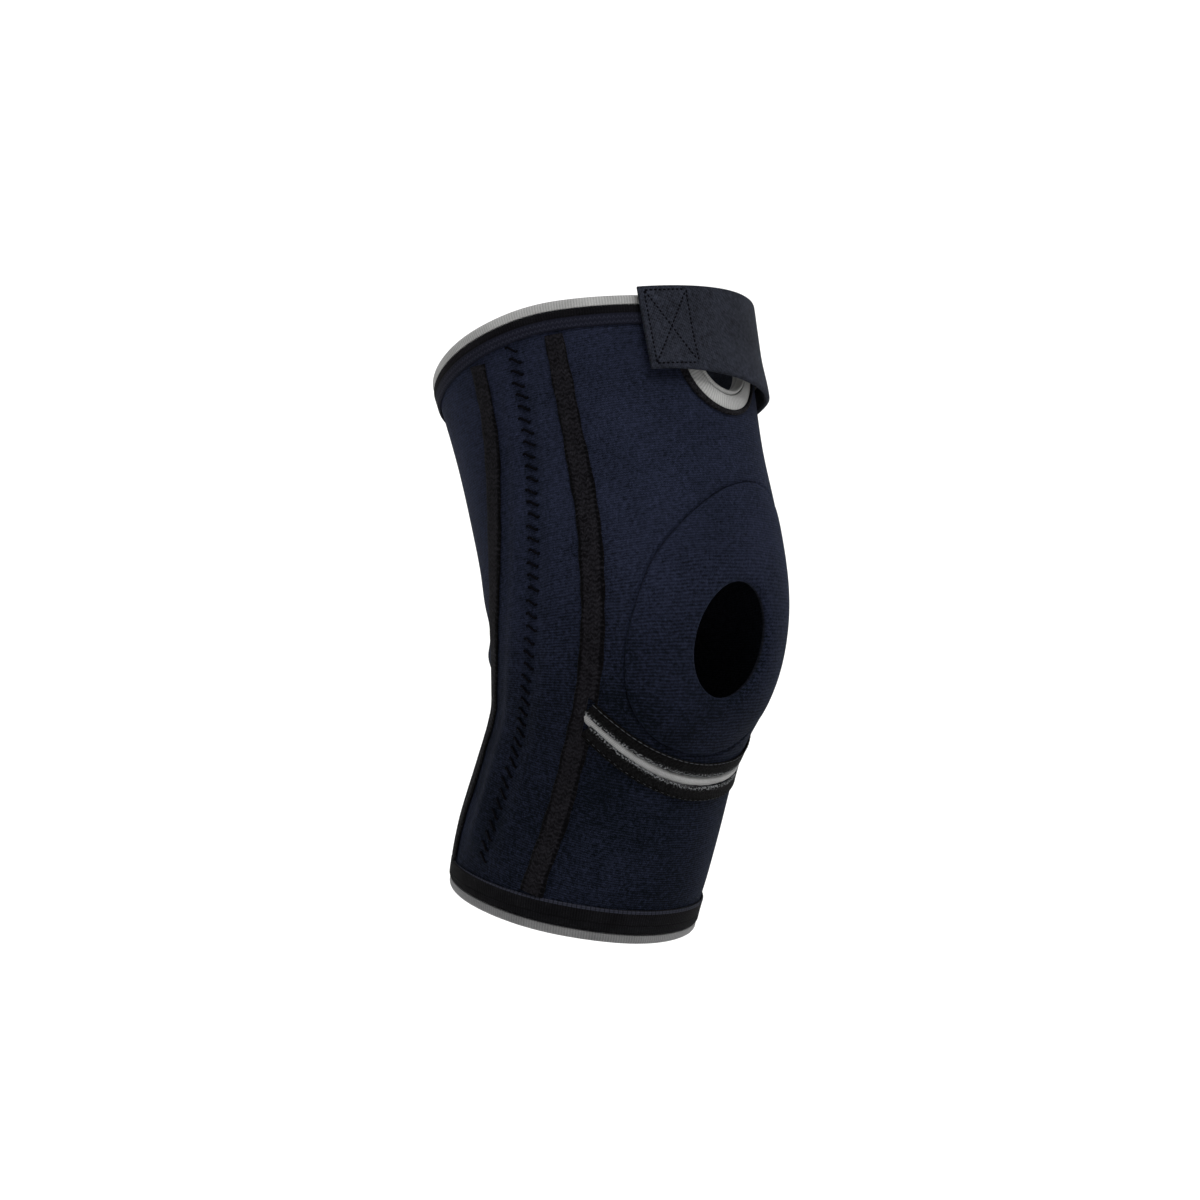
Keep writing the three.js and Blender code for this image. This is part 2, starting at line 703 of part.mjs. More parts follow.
const sleeve = new THREE.Group();
sleeve.name = 'knee_sleeve';
sleeve.add(
  named('upper_front_panel', upperFrontPanel(), CLOTH.navy),
  named('lower_front_panel', lowerFrontPanel(), CLOTH.navy),
  named('side_panel_right', sidePanel('frontRight', 'rearRight'), CLOTH.navy),
  named('side_panel_left', sidePanel('frontLeft', 'rearLeft'), CLOTH.navy),
  named('back_panel', backPanel(), CLOTH.navy),
  named('patella_pad', patellaPad(), CLOTH.navy),
  named('front_seam_tape_right', seamTape('frontRight'), CLOTH.black),
  named('front_seam_tape_left', seamTape('frontLeft'), CLOTH.black),
  named('rear_seam_tape_right', seamTape('rearRight'), CLOTH.black),
  named('rear_seam_tape_left', seamTape('rearLeft'), CLOTH.black),
  named('curved_piping', piping(), CLOTH.gray),
  named('piping_tape_upper', pipingTape(1), CLOTH.black),
  named('piping_tape_lower', pipingTape(-1), CLOTH.black),
  named('notch_binding', notchBinding(), CLOTH.gray),
  named('notch_tape', notchTape(), CLOTH.black),
  named('top_binding', topBinding(), CLOTH.gray),
  named('top_hem_tape', topHemTape(), CLOTH.black),
  named('bottom_binding', bottomBinding(), CLOTH.gray),
  named('bottom_hem_tape', bottomHemTape(), CLOTH.black),
  named('strap', strap(), CLOTH.charcoal),
  named('hook_tab', hookTab(), CLOTH.black),
);

export default sleeve;
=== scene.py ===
"""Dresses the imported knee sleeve: knitted neoprene panels, tapes, bindings, stitches and strap.

Every piece is a surface over a chart of the worn form. The chart has two numbers: u, the
turn round the leg from the front towards the wearer's right, in radians, and s, the length
along the leg line from the lower rim, in millimetres. A third number, lift, is the height
off the hollow that the leg fills, in millimetres. Meshes are written in metres.
"""

from __future__ import annotations

import logging
import math
from dataclasses import dataclass, field
from enum import Enum
from typing import Any, Sequence

import bpy
import numpy as np
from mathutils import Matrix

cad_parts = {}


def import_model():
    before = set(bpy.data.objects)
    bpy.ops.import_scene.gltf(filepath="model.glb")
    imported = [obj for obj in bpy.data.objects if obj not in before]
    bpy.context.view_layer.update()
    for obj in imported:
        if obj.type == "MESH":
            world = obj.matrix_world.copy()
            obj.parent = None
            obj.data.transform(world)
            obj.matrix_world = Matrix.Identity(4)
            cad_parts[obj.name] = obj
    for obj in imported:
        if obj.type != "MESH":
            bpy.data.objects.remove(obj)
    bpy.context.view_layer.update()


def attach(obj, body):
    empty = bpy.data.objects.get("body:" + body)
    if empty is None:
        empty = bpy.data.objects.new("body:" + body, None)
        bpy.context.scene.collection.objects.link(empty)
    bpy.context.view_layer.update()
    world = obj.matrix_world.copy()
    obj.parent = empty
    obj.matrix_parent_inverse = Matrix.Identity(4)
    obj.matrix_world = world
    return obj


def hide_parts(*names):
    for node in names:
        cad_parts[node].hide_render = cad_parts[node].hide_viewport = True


LOG = logging.getLogger("knee_sleeve")
Array = np.ndarray
MM = 0.001
TURN = 2 * math.pi
UV_PER_MM = 0.01
CHART_STRETCH = 1.25  # millimetres of knit drawn to a millimetre of s


class Seam(Enum):
    """A long seam, by its column in the seam table and the side it lies on."""

    FRONT_RIGHT = (1, 1)
    REAR_RIGHT = (2, 1)
    FRONT_LEFT = (3, -1)
    REAR_LEFT = (4, -1)


class Slot(Enum):
    """The record's material slots."""

    NEOPRENE = "navy_neoprene"
    TAPE = "black_tape"
    BINDING = "gray_binding"
    STRAP = "charcoal_strap"
    HOOK = "hook_tab"


def smooth(x: Array | float) -> Array:
    """Rises from 0 to 1 as 3x^2 - 2x^3, flat at both ends."""
    t = np.clip(x, 0.0, 1.0)
    return t * t * (3 - 2 * t)


def hermite(table: Array, x: Array) -> Array:
    """Reads a table smoothly: cubic pieces whose slopes are the weighted mean beside each row.

    Args:
        table: Rows of a place and one or more values.
        x: Places to read.

    Returns:
        The values, with one more axis than x.
    """
    x = np.clip(x, table[0, 0], table[-1, 0])
    slopes = np.stack([np.gradient(table[:, k], table[:, 0]) for k in range(1, table.shape[1])], 1)
    i = np.clip(np.searchsorted(table[:, 0], x, side="right") - 1, 0, len(table) - 2)
    gap = (table[i + 1, 0] - table[i, 0])[..., None]
    t = (x[..., None] - table[i, 0][..., None]) / gap
    return (
        (2 * t**3 - 3 * t**2 + 1) * table[i, 1:]
        + (t**3 - 2 * t**2 + t) * gap * slopes[i]
        + (3 * t**2 - 2 * t**3) * table[i + 1, 1:]
        + (t**3 - t**2) * gap * slopes[i + 1]
    )


HOLLOW = np.array([
    # along, half width, front depth, back depth, as shares of the sizes at the knee
    [-0.03, 0.80, 0.68, 1.08],
    [0.02, 0.80, 0.665, 1.11],
    [0.10, 0.82, 0.67, 1.12],
    [0.18, 0.82, 0.67, 1.10],
    [0.24, 0.83, 0.655, 1.06],
    [0.29, 0.845, 0.645, 1.02],
    [0.33, 0.885, 0.695, 0.985],
    [0.38, 0.95, 0.80, 0.985],
    [0.48, 1.01, 0.945, 1.00],
    [0.61, 1.01, 1.02, 1.01],
    [0.77, 0.99, 1.02, 1.08],
    [1.00, 1.06, 1.05, 1.22],
])

SEAMS = np.array([
    # along, front right, rear right, front left, rear left, in degrees from the front
    [0.00, 67.5, 128.5, 68, 128],
    [0.30, 61.5, 122.5, 64, 123],
    [0.48, 60.5, 115.5, 65, 117],
    [0.62, 59, 106, 69, 112],
    [0.80, 59, 94, 74, 109],
    [1.00, 58, 89.5, 77, 109],
])


@dataclass(frozen=True)
class WornForm:
    """The hollow that the leg fills, and the lines that are drawn on it."""

    shin_tilt: float = math.radians(19)
    thigh_tilt: float = math.radians(13)
    shin_length: float = 64.0
    thigh_length: float = 110.0
    bend_radius: float = 130.0
    half_width: float = 61.0
    front_depth: float = 61.0
    back_depth: float = 52.0
    wall: float = 4.0
    rim_rise: float = 3.5
    rim_rise_turns: tuple[float, float] = (math.radians(10), math.radians(75))
    rim_drop: float = 18.0
    rim_drop_from: float = math.radians(55)
    calf_drop: float = 8.0
    fold_above: float = 3.0
    fold_from: float = -0.5
    fold_full: float = -0.85
    fold_reach: float = 30.0
    fold_pitch: float = 34.0
    fold_rise: float = 2.0
    ease: float = 0.22

    @property
    def bend_length(self) -> float:
        """The leg line's length round the knee."""
        return self.bend_radius * (self.shin_tilt + self.thigh_tilt)

    @property
    def length(self) -> float:
        """The leg line's whole length."""
        return self.shin_length + self.bend_length + self.thigh_length

    @property
    def knee(self) -> float:
        """Where the leg line is upright, the middle of the knee."""
        return self.shin_length + self.bend_radius * self.shin_tilt

    def creases(self, u: Array, s: Array) -> Array:
        """Folds behind the knee, a fading cosine along s, and the cloth's slight unevenness."""
        behind = smooth((np.cos(u) - self.fold_from) / (self.fold_full - self.fold_from))
        at = s - self.knee - self.fold_above
        folds = self.fold_rise * behind * np.exp(-((at / self.fold_reach) ** 2))
        folds = folds * np.cos(TURN * at / self.fold_pitch)
        uneven = np.sin(3 * u + s / 23) * np.sin(s / 17 - 2 * u) + 0.6 * np.sin(7 * u - s / 11)
        return folds + self.ease * uneven

    def point(self, u: Array, s: Array, lift: Array | float) -> Array:
        """A place on the sleeve: an oval section carried square to a straight, bent, straight line.

        Args:
            u: Turn round the leg.
            s: Length along the leg line.
            lift: Height off the hollow.

        Returns:
            Points in metres, with one more axis than the inputs.
        """
        u, s, lift = np.broadcast_arrays(*(np.asarray(v, float) for v in (u, s, lift)))
        out = lift + self.creases(u, s)
        share = np.moveaxis(hermite(HOLLOW, s / self.length), -1, 0)
        width = self.half_width * share[0] + out
        front = self.front_depth * share[1] + out
        back = self.back_depth * share[2] + out
        bend = np.clip(s - self.shin_length, 0, self.bend_length)
        lean = bend / self.bend_radius - self.shin_tilt
        straight = np.minimum(s - self.shin_length, 0) + np.maximum(
            s - self.shin_length - self.bend_length, 0
        )
        y = self.bend_radius * (1 - np.cos(lean)) + straight * np.sin(lean)
        z = self.bend_radius * np.sin(lean) + straight * np.cos(lean)
        ahead = (front + back) / 2 * np.cos(u) + (front - back) / 2
        place = [-width * np.sin(u), y - ahead * np.cos(lean), z + ahead * np.sin(lean)]
        return np.stack(place, -1) * MM

    def scale(self, u: Array, s: Array) -> tuple[Array, Array]:
        """Millimetres on the outer face to a radian of u and to a millimetre of s."""
        u, s = np.broadcast_arrays(np.asarray(u, float), np.asarray(s, float))
        step = 0.01
        here = self.point(u, s, self.wall)
        turned = np.linalg.norm(self.point(u + step, s, self.wall) - here, axis=-1)
        moved = np.linalg.norm(self.point(u, s + step, self.wall) - here, axis=-1)
        return turned / step / MM, moved / step / MM

    def normal(self, u: Array, s: Array) -> Array:
        """The way straight out of the sleeve, from its slopes in u and in s."""
        step = 0.01
        here = self.point(u, s, self.wall)
        turned = self.point(np.asarray(u) + step, s, self.wall) - here
        moved = self.point(u, np.asarray(s) + step, self.wall) - here
        out = np.cross(moved, turned)
        return out / np.linalg.norm(out, axis=-1, keepdims=True)

    def rim(self, u: Array | float) -> Array:
        """The thigh rim's place along: it rises a little to the sides and drops behind them."""
        turn = np.arccos(np.cos(u))
        start, stop = self.rim_rise_turns
        rise = smooth((turn - start) / (stop - start))
        drop = smooth((turn - self.rim_drop_from) / (math.pi - self.rim_drop_from))
        return self.length + self.rim_rise * rise - self.rim_drop * drop

    def calf_rim(self, u: Array | float) -> Array:
        """The calf rim's place along, lower towards the back too."""
        return -self.calf_drop * (1 - np.cos(u)) / 2

    def seam(self, seam: Seam, s: Array) -> Array:
        """A long seam's turn at each place along."""
        column, sign = seam.value
        s = np.asarray(s, float)
        return sign * np.radians(hermite(SEAMS[:, [0, column]], s / self.length)[..., 0])


FORM = WornForm()


def linked(name: str, data: Any) -> bpy.types.Object:
    """Makes an object of some data and links it to the scene."""
    made = bpy.data.objects.new(name, data)
    bpy.context.scene.collection.objects.link(made)
    return made


def chart_uv(u: Array, s: Array, ring: bool) -> Array:
    """Cloth coordinates in millimetres of a chart grid; a ring of rows gets its first row again."""
    uv = np.stack([u * FORM.half_width, s * CHART_STRETCH], -1)
    return np.concatenate([uv, uv[:1]], 0) if ring else uv


class Cloth:
    """Makes meshes out of grids of points."""

    @staticmethod
    def closed(
        name: str,
        top: Array,
        under: Array,
        uv: Array,
        ring_rows: bool = False,
        keep: Array | None = None,
        crease: float = 50.0,
    ) -> bpy.types.Object:
        """A closed piece: the top grid, the under grid, and walls round every open edge.

        Args:
            name: The piece's name.
            top: Points of the outer face, rows by columns by three, in metres.
            under: Points of the inner face, in the same order.
            uv: Cloth coordinates in millimetres; one more row where the grid is a ring.
            ring_rows: The last row joins the first.
            keep: Which cells of the grid are there; all of them by default.
            crease: Angle in degrees past which an edge is drawn sharp.

        Returns:
            The object, with material slots 0 for the outer face and 1 for the rest.
        """
        rows, columns = top.shape[:2]
        index = np.arange(rows * columns).reshape(rows, columns)
        if ring_rows:
            index = np.vstack([index, index[:1]])
        mark = np.arange(uv.shape[0] * uv.shape[1]).reshape(uv.shape[:2])
        mark = mark[: index.shape[0], : index.shape[1]]

        def cells(grid: Array) -> Array:
            """The four corners of each cell, in order round it."""
            corners = [grid[:-1, :-1], grid[1:, :-1], grid[1:, 1:], grid[:-1, 1:]]
            return np.stack(corners, -1).reshape(-1, 4)

        quads, marks = cells(index), cells(mark)
        if keep is not None:
            quads, marks = quads[keep.ravel()], marks[keep.ravel()]
        count = rows * columns
        starts, ends = quads.ravel(), np.roll(quads, -1, 1).ravel()
        mark_starts, mark_ends = marks.ravel(), np.roll(marks, -1, 1).ravel()
        lone = ~np.isin(starts.astype(np.int64) * count + ends, ends.astype(np.int64) * count + starts)
        walls = np.stack([ends[lone], starts[lone], starts[lone] + count, ends[lone] + count], 1)
        first, last = mark_starts[lone], mark_ends[lone]
        wall_marks = np.stack([last, first, first, last], 1)
        faces = np.vstack([quads, quads[:, ::-1] + count, walls])
        face_marks = np.vstack([marks, marks[:, ::-1], wall_marks])
        points = np.vstack([top.reshape(-1, 3), under.reshape(-1, 3)])
        a, b, c, d = (points[faces[:, k]] for k in range(4))
        volume = np.einsum("ij,ij->i", a, np.cross(b, c) + np.cross(c, d)).sum()
        if volume < 0:
            faces, face_marks = faces[:, ::-1], face_marks[:, ::-1]
        used = np.unique(faces)
        lookup = np.zeros(len(points), int)
        lookup[used] = np.arange(len(used))
        inner = np.concatenate([np.zeros(len(quads), int), np.ones(len(faces) - len(quads), int)])
        coordinates = uv.reshape(-1, 2)[face_marks.ravel()] * UV_PER_MM
        return Cloth.mesh(name, points[used], lookup[faces], inner, coordinates, crease)

    @staticmethod
    def mesh(
        name: str, points: Array, faces: Array, inner: Array, uv: Array, crease: float
    ) -> bpy.types.Object:
        """Puts arrays into a smooth-shaded mesh object at the origin and makes it ride on the root.

        Args:
            name: The piece's name.
            points: Vertices in metres.
            faces: Four corners to a face; a face whose last two are the same is a triangle.
            inner: Material index of each face.
            uv: One coordinate for each corner, in order.
            crease: Angle in degrees past which an edge is drawn sharp.

        Returns:
            The object.
        """
        mesh = bpy.data.meshes.new(name)
        corners = [f[:3] if f[2] == f[3] else f for f in faces.tolist()]
        mesh.from_pydata(points.tolist(), [], corners)
        there = np.ones(faces.shape, bool)
        there[:, 3] = faces[:, 2] != faces[:, 3]
        layer = mesh.uv_layers.new(name="cloth")
        layer.data.foreach_set("uv", uv.reshape(-1, 4, 2)[there].astype(np.float32).ravel())
        mesh.polygons.foreach_set("material_index", inner.astype(np.int32))
        mesh.polygons.foreach_set("use_smooth", np.ones(len(faces), bool))
        mesh.set_sharp_from_angle(angle=math.radians(crease))
        mesh.update()
        piece = linked(name, mesh)
        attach(piece, "root")
        return piece


@dataclass(frozen=True)
class Line:
    """A line drawn on the sleeve, as arrays of u and s."""

    u: Array
    s: Array
    ring: bool = False

    def travel(self) -> tuple[Array, Array]:
        """The line's direction on the outer face, as parts round and along, of length one."""
        if self.ring:
            du = (np.roll(self.u, -1) - np.roll(self.u, 1) + math.pi) % TURN - math.pi
            ds = np.roll(self.s, -1) - np.roll(self.s, 1)
        else:
            du, ds = np.gradient(self.u), np.gradient(self.s)
        round_, along = FORM.scale(self.u, self.s)
        x, y = du * round_, ds * along
        size = np.hypot(x, y)
        return x / size, y / size

    def beside(self, across: Array) -> tuple[Array, Array]:
        """Chart places to the left of the line, square to it.

        Args:
            across: Distances in millimetres: one for each column, or rows by columns.

        Returns:
            u and s, rows by columns.
        """
        x, y = self.travel()
        round_, along = FORM.scale(self.u, self.s)
        across = np.broadcast_to(across, (len(self.u), np.shape(across)[-1]))
        u = self.u[:, None] - y[:, None] * across / round_[:, None]
        s = self.s[:, None] + x[:, None] * across / along[:, None]
        return u, s

    def lengths(self) -> Array:
        """Length in millimetres from the start to each place; a ring has one more, its whole length."""
        points = FORM.point(self.u, self.s, FORM.wall)
        if self.ring:
            points = np.vstack([points, points[:1]])
        steps = np.linalg.norm(np.diff(points, axis=0), axis=1) / MM
        return np.concatenate([[0.0], np.cumsum(steps)])


def ribbon(
    name: str, line: Line, across: Array, top: Array, under: Array, crease: float = 50.0
) -> bpy.types.Object:
    """A band carried along a line: a section of places across, each with a top and an under lift.

    Args:
        name: The piece's name.
        line: What the band follows.
        across: Places across in millimetres, as columns, or rows by columns.
        top: Lift of the outer face at each place.
        under: Lift of the inner face at each place.
        crease: Angle in degrees past which an edge is drawn sharp.

    Returns:
        The object; its cloth coordinates are the length along and the place across.
    """
    u, s = line.beside(across)
    lengths = line.lengths()
    width = np.broadcast_to(across, u.shape)
    if line.ring:
        width = np.vstack([width, width[:1]])
    uv = np.stack([np.broadcast_to(lengths[:, None], width.shape), width], -1)
    return Cloth.closed(
        name, FORM.point(u, s, top), FORM.point(u, s, under), uv, ring_rows=line.ring, crease=crease
    )


# Where a band's rounded edge has its columns, and how high its rim stands, as shares.
EDGE_COLUMNS = np.array([0.0, 0.12, 0.35, 0.65, 1.0])
EDGE_LIFT = 0.15


def pillow(width: float, under: float, top: float, edge: float, columns: int) -> tuple[Array, ...]:
    """A flat band's section with rounded edges: a quarter circle of height top - under at each side.

    Args:
        width: The band's width.
        under: Lift of its under face.
        top: Lift of its outer face.
        edge: Width of the rounded part.
        columns: Places across.

    Returns:
        The places across, their top lifts and their under lifts.
    """
    rounds = EDGE_COLUMNS * edge
    flat = np.linspace(edge, width - edge, max(columns - 8, 2))[1:-1]
    place = np.concatenate([rounds, flat, width - rounds[::-1]])
    near = np.clip(np.minimum(place, width - place) / edge, 0, 1)
    low = under + EDGE_LIFT * (top - under)
    lift = low + (top - low) * np.sqrt(1 - (1 - near) ** 2)
    return place - width / 2, lift, np.full_like(place, under)


class Signal:
    """A shader socket that takes part in arithmetic; each operation adds a Math node."""

    def __init__(self, graph: "Graph", socket: Any) -> None:
        """Holds a graph and one of its output sockets."""
        self.graph = graph
        self.socket = socket

    def maths(self, operation: str, *others: Any) -> "Signal":
        """Adds a Math node that has this signal as its first input."""
        return self.graph.maths(operation, self, *others)

    def __add__(self, other: Any) -> "Signal":
        """Sum."""
        return self.maths("ADD", other)

    __radd__ = __add__

    def __sub__(self, other: Any) -> "Signal":
        """Difference."""
        return self.maths("SUBTRACT", other)

    def __rsub__(self, other: Any) -> "Signal":
        """Difference, reflected."""
        return self.graph.maths("SUBTRACT", other, self)

    def __mul__(self, other: Any) -> "Signal":
        """Product."""
        return self.maths("MULTIPLY", other)

    __rmul__ = __mul__

    def __truediv__(self, other: Any) -> "Signal":
        """Quotient."""
        return self.maths("DIVIDE", other)

    def __abs__(self) -> "Signal":
        """Size without sign."""
        return self.maths("ABSOLUTE")

    def wave(self) -> "Signal":
        """Half plus half the sine of a whole turn for each unit."""
        return (self * TURN).maths("SINE") * 0.5 + 0.5

    def ridge(self) -> "Signal":
        """A triangle wave: 0 at whole units, 1 half way between."""
        return 1 - abs(self.maths("FRACT") * 2 - 1)

    def step(self, low: float, high: float) -> "Signal":
        """Rises smoothly from 0 at low to 1 at high."""
        settings = {"interpolation_type": "SMOOTHSTEP"}
        inputs = {"Value": self, "From Min": low, "From Max": high}
        return Signal(self.graph, self.graph.node("ShaderNodeMapRange", settings, inputs).outputs[0])


class Graph:
    """The nodes of one material."""

    def __init__(self, name: str) -> None:
        """Makes an empty node material of that name."""
        self.material = bpy.data.materials.new(name)
        self.material.use_nodes = True
        self.tree = self.material.node_tree
        self.tree.nodes.clear()

    def node(
        self, kind: str, settings: dict[str, Any] | None = None, inputs: dict[Any, Any] | None = None
    ) -> Any:
        """Adds a node, sets its settings and then its sockets.

        Args:
            kind: The node's type name.
            settings: Attributes, set first.
            inputs: Values, signals or sockets by the input's name or number.

        Returns:
            The node.
        """
        made = self.tree.nodes.new(kind)
        for key, value in (settings or {}).items():
            setattr(made, key, value)
        for key, value in (inputs or {}).items():
            if isinstance(value, Signal):
                value = value.socket
            if isinstance(value, bpy.types.NodeSocket):
                self.tree.links.new(value, made.inputs[key])
            else:
                made.inputs[key].default_value = value
        return made

    def maths(self, operation: str, *terms: Any) -> Signal:
        """Adds a Math node with the given terms as its inputs."""
        made = self.node("ShaderNodeMath", {"operation": operation}, dict(enumerate(terms)))
        return Signal(self, made.outputs[0])

    def cloth(self) -> tuple[Signal, Signal]:
        """The piece's own cloth coordinates, in millimetres."""
        place = self.node("ShaderNodeUVMap", {"uv_map": "cloth"})
        parts = self.node("ShaderNodeSeparateXYZ", None, {0: place.outputs[0]})
        return Signal(self, parts.outputs[0]) / UV_PER_MM, Signal(self, parts.outputs[1]) / UV_PER_MM

    def upright(self) -> Signal:
        """The height above the knee bend, in millimetres."""
        place = self.node("ShaderNodeTexCoord").outputs["Object"]
        parts = self.node("ShaderNodeSeparateXYZ", None, {0: place})
        return Signal(self, parts.outputs[2]) / MM

    def clouds(self, place: Any, detail: float) -> Signal:
        """Noise over a place that is already scaled so that a cloud is about one unit."""
        inputs = {"Vector": place, "Scale": 1.0, "Detail": detail}
        return Signal(self, self.node("ShaderNodeTexNoise", None, inputs).outputs[0])

    def noise(self, size: float, detail: float) -> Signal:
        """Cloudy noise in the object's own space.

        Args:
            size: Size of the clouds in millimetres.
            detail: Finer layers on top.

        Returns:
            A signal about one half.
        """
        place = self.node("ShaderNodeTexCoord").outputs["Object"]
        scale = {"Vector": place, "Scale": (1 / (size * MM),) * 3}
        return self.clouds(self.node("ShaderNodeMapping", None, scale).outputs[0], detail)

    def streaks(self, across: Signal, along: Signal, detail: float) -> Signal:
        """Noise over two cloth signals, already scaled so that a cloud is about one unit."""
        joined = self.node("ShaderNodeCombineXYZ", None, {0: across, 1: along, 2: 0.0})
        return self.clouds(joined.outputs[0], detail)

    def blend(self, share: Signal, low: Any, high: Any) -> Any:
        """A colour between two others."""
        settings = {"data_type": "RGBA", "clamp_factor": True}
        made = self.node("ShaderNodeMix", settings, {0: share, 6: low, 7: high})
        return made.outputs[2]

    def finish(
        self, colour: Any, height: Signal | None, depth: float, **constants: Any
    ) -> bpy.types.Material:
        """Ends the graph in a Principled shader.

        Args:
            colour: Base colour, a value or a socket.
            height: Relief from 0 to 1, or none.
            depth: The relief's depth in millimetres.
            constants: Other sockets by name, with underscores for spaces.

        Returns:
            The material.
        """
        inputs: dict[Any, Any] = {"Base Color": colour}
        for key, value in constants.items():
            inputs[key.replace("_", " ").title().replace("Ior", "IOR")] = value
        if height is not None:
            bump = {"Height": height, "Distance": depth * MM, "Strength": 1.0}
            inputs["Normal"] = self.node("ShaderNodeBump", None, bump).outputs[0]
        shader = self.node("ShaderNodeBsdfPrincipled", None, inputs)
        self.node("ShaderNodeOutputMaterial", None, {"Surface": shader.outputs[0]})
        return self.material


def rgb(red: float, green: float, blue: float) -> tuple[float, float, float, float]:
    """A screen colour of 0 to 255 as the light it stands for."""
    screen = [c / 255 for c in (red, green, blue)]
    light = [c / 12.92 if c <= 0.04045 else ((c + 0.055) / 1.055) ** 2.4 for c in screen]
    return (*light, 1.0)


@dataclass(frozen=True)
class TwoTone:
    """What the cloth finishes share: a name and the colours of their low and high threads."""

    name: str
    dark: tuple[float, ...]
    light: tuple[float, ...]


@dataclass(frozen=True)
class Knit(TwoTone):
    """A fine jersey facing: courses round the leg, with a V in each stitch."""

    course: float = 1.25
    wale: float = 1.0
    depth: float = 0.16
    roughness: float = 0.82

    def material(self) -> bpy.types.Material:
        """Builds the finish: the stitch is a wave along the cloth, shifted by a triangle across it."""
        g = Graph(self.name)
        across, along = g.cloth()
        wobble = (g.noise(9.0, 1.0) - 0.5) * 1.1
        stitch = ((along + wobble) / self.course + (across / self.wale).ridge() * 0.35).wave()
        gap = (across / self.wale).ridge().step(0.0, 0.35)
        loops = stitch * (gap * 0.35 + 0.65)
        fuzz = g.noise(0.55, 3.0)
        grain = g.noise(1.3, 2.0)
        clouds = g.noise(26.0, 3.0)
        # Painted shade: the knit grows darker towards the bottom and lighter towards the top, standing in
        # for light that falls from above.
        painted_light_by_height = g.upright().step(-40.0, 70.0)
        shade = loops * 0.3 + fuzz * 0.9 + grain * 1.0 + clouds * 0.4 + painted_light_by_height * 0.27 - 1.12
        height = loops * 0.5 + fuzz * 0.6 + grain * 0.4
        return g.finish(
            g.blend(shade, self.dark, self.light), height, self.depth,
            roughness=self.roughness, sheen_weight=0.02, sheen_roughness=0.5,
            sheen_tint=(0.4, 0.5, 0.9, 1.0), specular_ior_level=0.02,
        )


@dataclass(frozen=True)
class CoverTape(TwoTone):
    """A black stretch tape under rows of looped cover stitches: a fuzzy, mottled band."""

    fleck: tuple[float, ...] | None = None
    fleck_reach: float = 2.2
    width: float = 10.0
    inner_sign: float = 1.0
    pitch: float = 2.1
    depth: float = 0.4

    def material(self) -> bpy.types.Material:
        """Builds the finish: slanted loops along the band, broken up by noise, pale flecks, and painted
        shade along both edges.
        """
        g = Graph(self.name)
        along, across = g.cloth()
        rough = g.streaks(along / 1.9, across / 1.2, 3.0)
        curl = g.streaks(along / 0.9, across / 0.8, 3.0)
        loops = ((along + (across / 3.1).ridge() * 1.1 + (rough - 0.5) * 4.2) / self.pitch).wave()
        fuzz = g.noise(0.45, 3.0)
        height = loops * 0.3 + curl * 0.6 + fuzz * 0.45
        # A band along both edges: sunk in the relief, and darkened in the colour as painted shade for the
        # shadow at the tape's sides.
        rim = abs(across).step(self.width / 2 - 2.0, self.width / 2 - 0.6)
        dots = (along / 2.3 + (rough - 0.5) * 0.8).ridge()
        height = height - rim * dots * 0.4
        shade = height * 1.5 + g.noise(3.0, 2.0) * 0.8 - 1.0 - rim * (dots * 0.5 + 0.1)
        colour = g.blend(shade, self.dark, self.light)
        if self.fleck is not None:
            inside = across * self.inner_sign + self.width / 2
            near = 1 - inside.step(0.5, self.fleck_reach)
            specks = (g.streaks(along / 0.7, across / 0.8, 2.0) + near * 0.1 - 0.08).step(0.48, 0.62)
            colour = g.blend(near * specks * 0.8, colour, self.fleck)
        return g.finish(
            colour, height, self.depth, roughness=0.9, sheen_weight=0.01,
            sheen_roughness=0.6, specular_ior_level=0.03,
        )


@dataclass(frozen=True)
class HemTape(TwoTone):
    """The black hem: a fine rib with threads that run along it."""

    rows: tuple[float, ...] = ()
    ground: tuple[float, ...] | None = None
    sway: float = 0.0
    line: float = 0.0
    row_width: float = 0.45
    row_strength: float = 0.3

    def material(self) -> bpy.types.Material:
        """Builds the finish: fine ribs across, and for each row a dashed thread along the band."""
        g = Graph(self.name)
        along, across = g.cloth()
        fuzz = g.noise(0.5, 3.0)
        height = (along / 1.1 + (fuzz - 0.5) * 0.5).wave() * 0.35 + fuzz * 0.6
        colour = g.blend(height * 0.8 + g.noise(11.0, 2.0) * 0.5 - 0.4, self.dark, self.light)
        if self.ground is not None:
            colour = g.blend(across.step(self.line - 0.3, self.line + 0.2), self.ground, colour)
        zigzag = ((along / 1.9).ridge() - 0.5) * self.sway
        groove = 1 - abs(across - self.line).step(0.15, 0.5)
        height = height - groove * 0.6
        colour = g.blend(groove * 0.6, colour, rgb(4, 4, 5))
        for row in self.rows:
            near = 1 - abs(across - row - zigzag).step(self.row_width * 0.3, self.row_width)
            thread = near * (along / 1.9).ridge().step(0.05, 0.25)
            height = height + thread * 0.4
            colour = g.blend(thread * self.row_strength, colour, rgb(70, 73, 88))
        return g.finish(colour, height, 0.22, roughness=0.88, sheen_weight=0.01, specular_ior_level=0.03)


@dataclass(frozen=True)
class RibKnit(TwoTone):
    """The gray binding: a soft rib that runs across the band."""

    rib: float = 1.15

    def material(self) -> bpy.types.Material:
        """Builds the finish: a wave along the band for the ribs, with soiling in slow clouds."""
        g = Graph(self.name)
        along, across = g.cloth()
        fuzz = g.noise(0.45, 3.0)
        rib = ((along + (fuzz - 0.5) * 0.5) / self.rib).wave()
        height = rib * 0.6 + fuzz * 0.5
        shade = rib * 0.35 + fuzz * 0.35 + g.noise(13.0, 3.0) * 0.6 - 0.15
        colour = g.blend(shade, self.dark, self.light)
        return g.finish(colour, height, 0.16, roughness=0.85, sheen_weight=0.15, specular_ior_level=0.3)


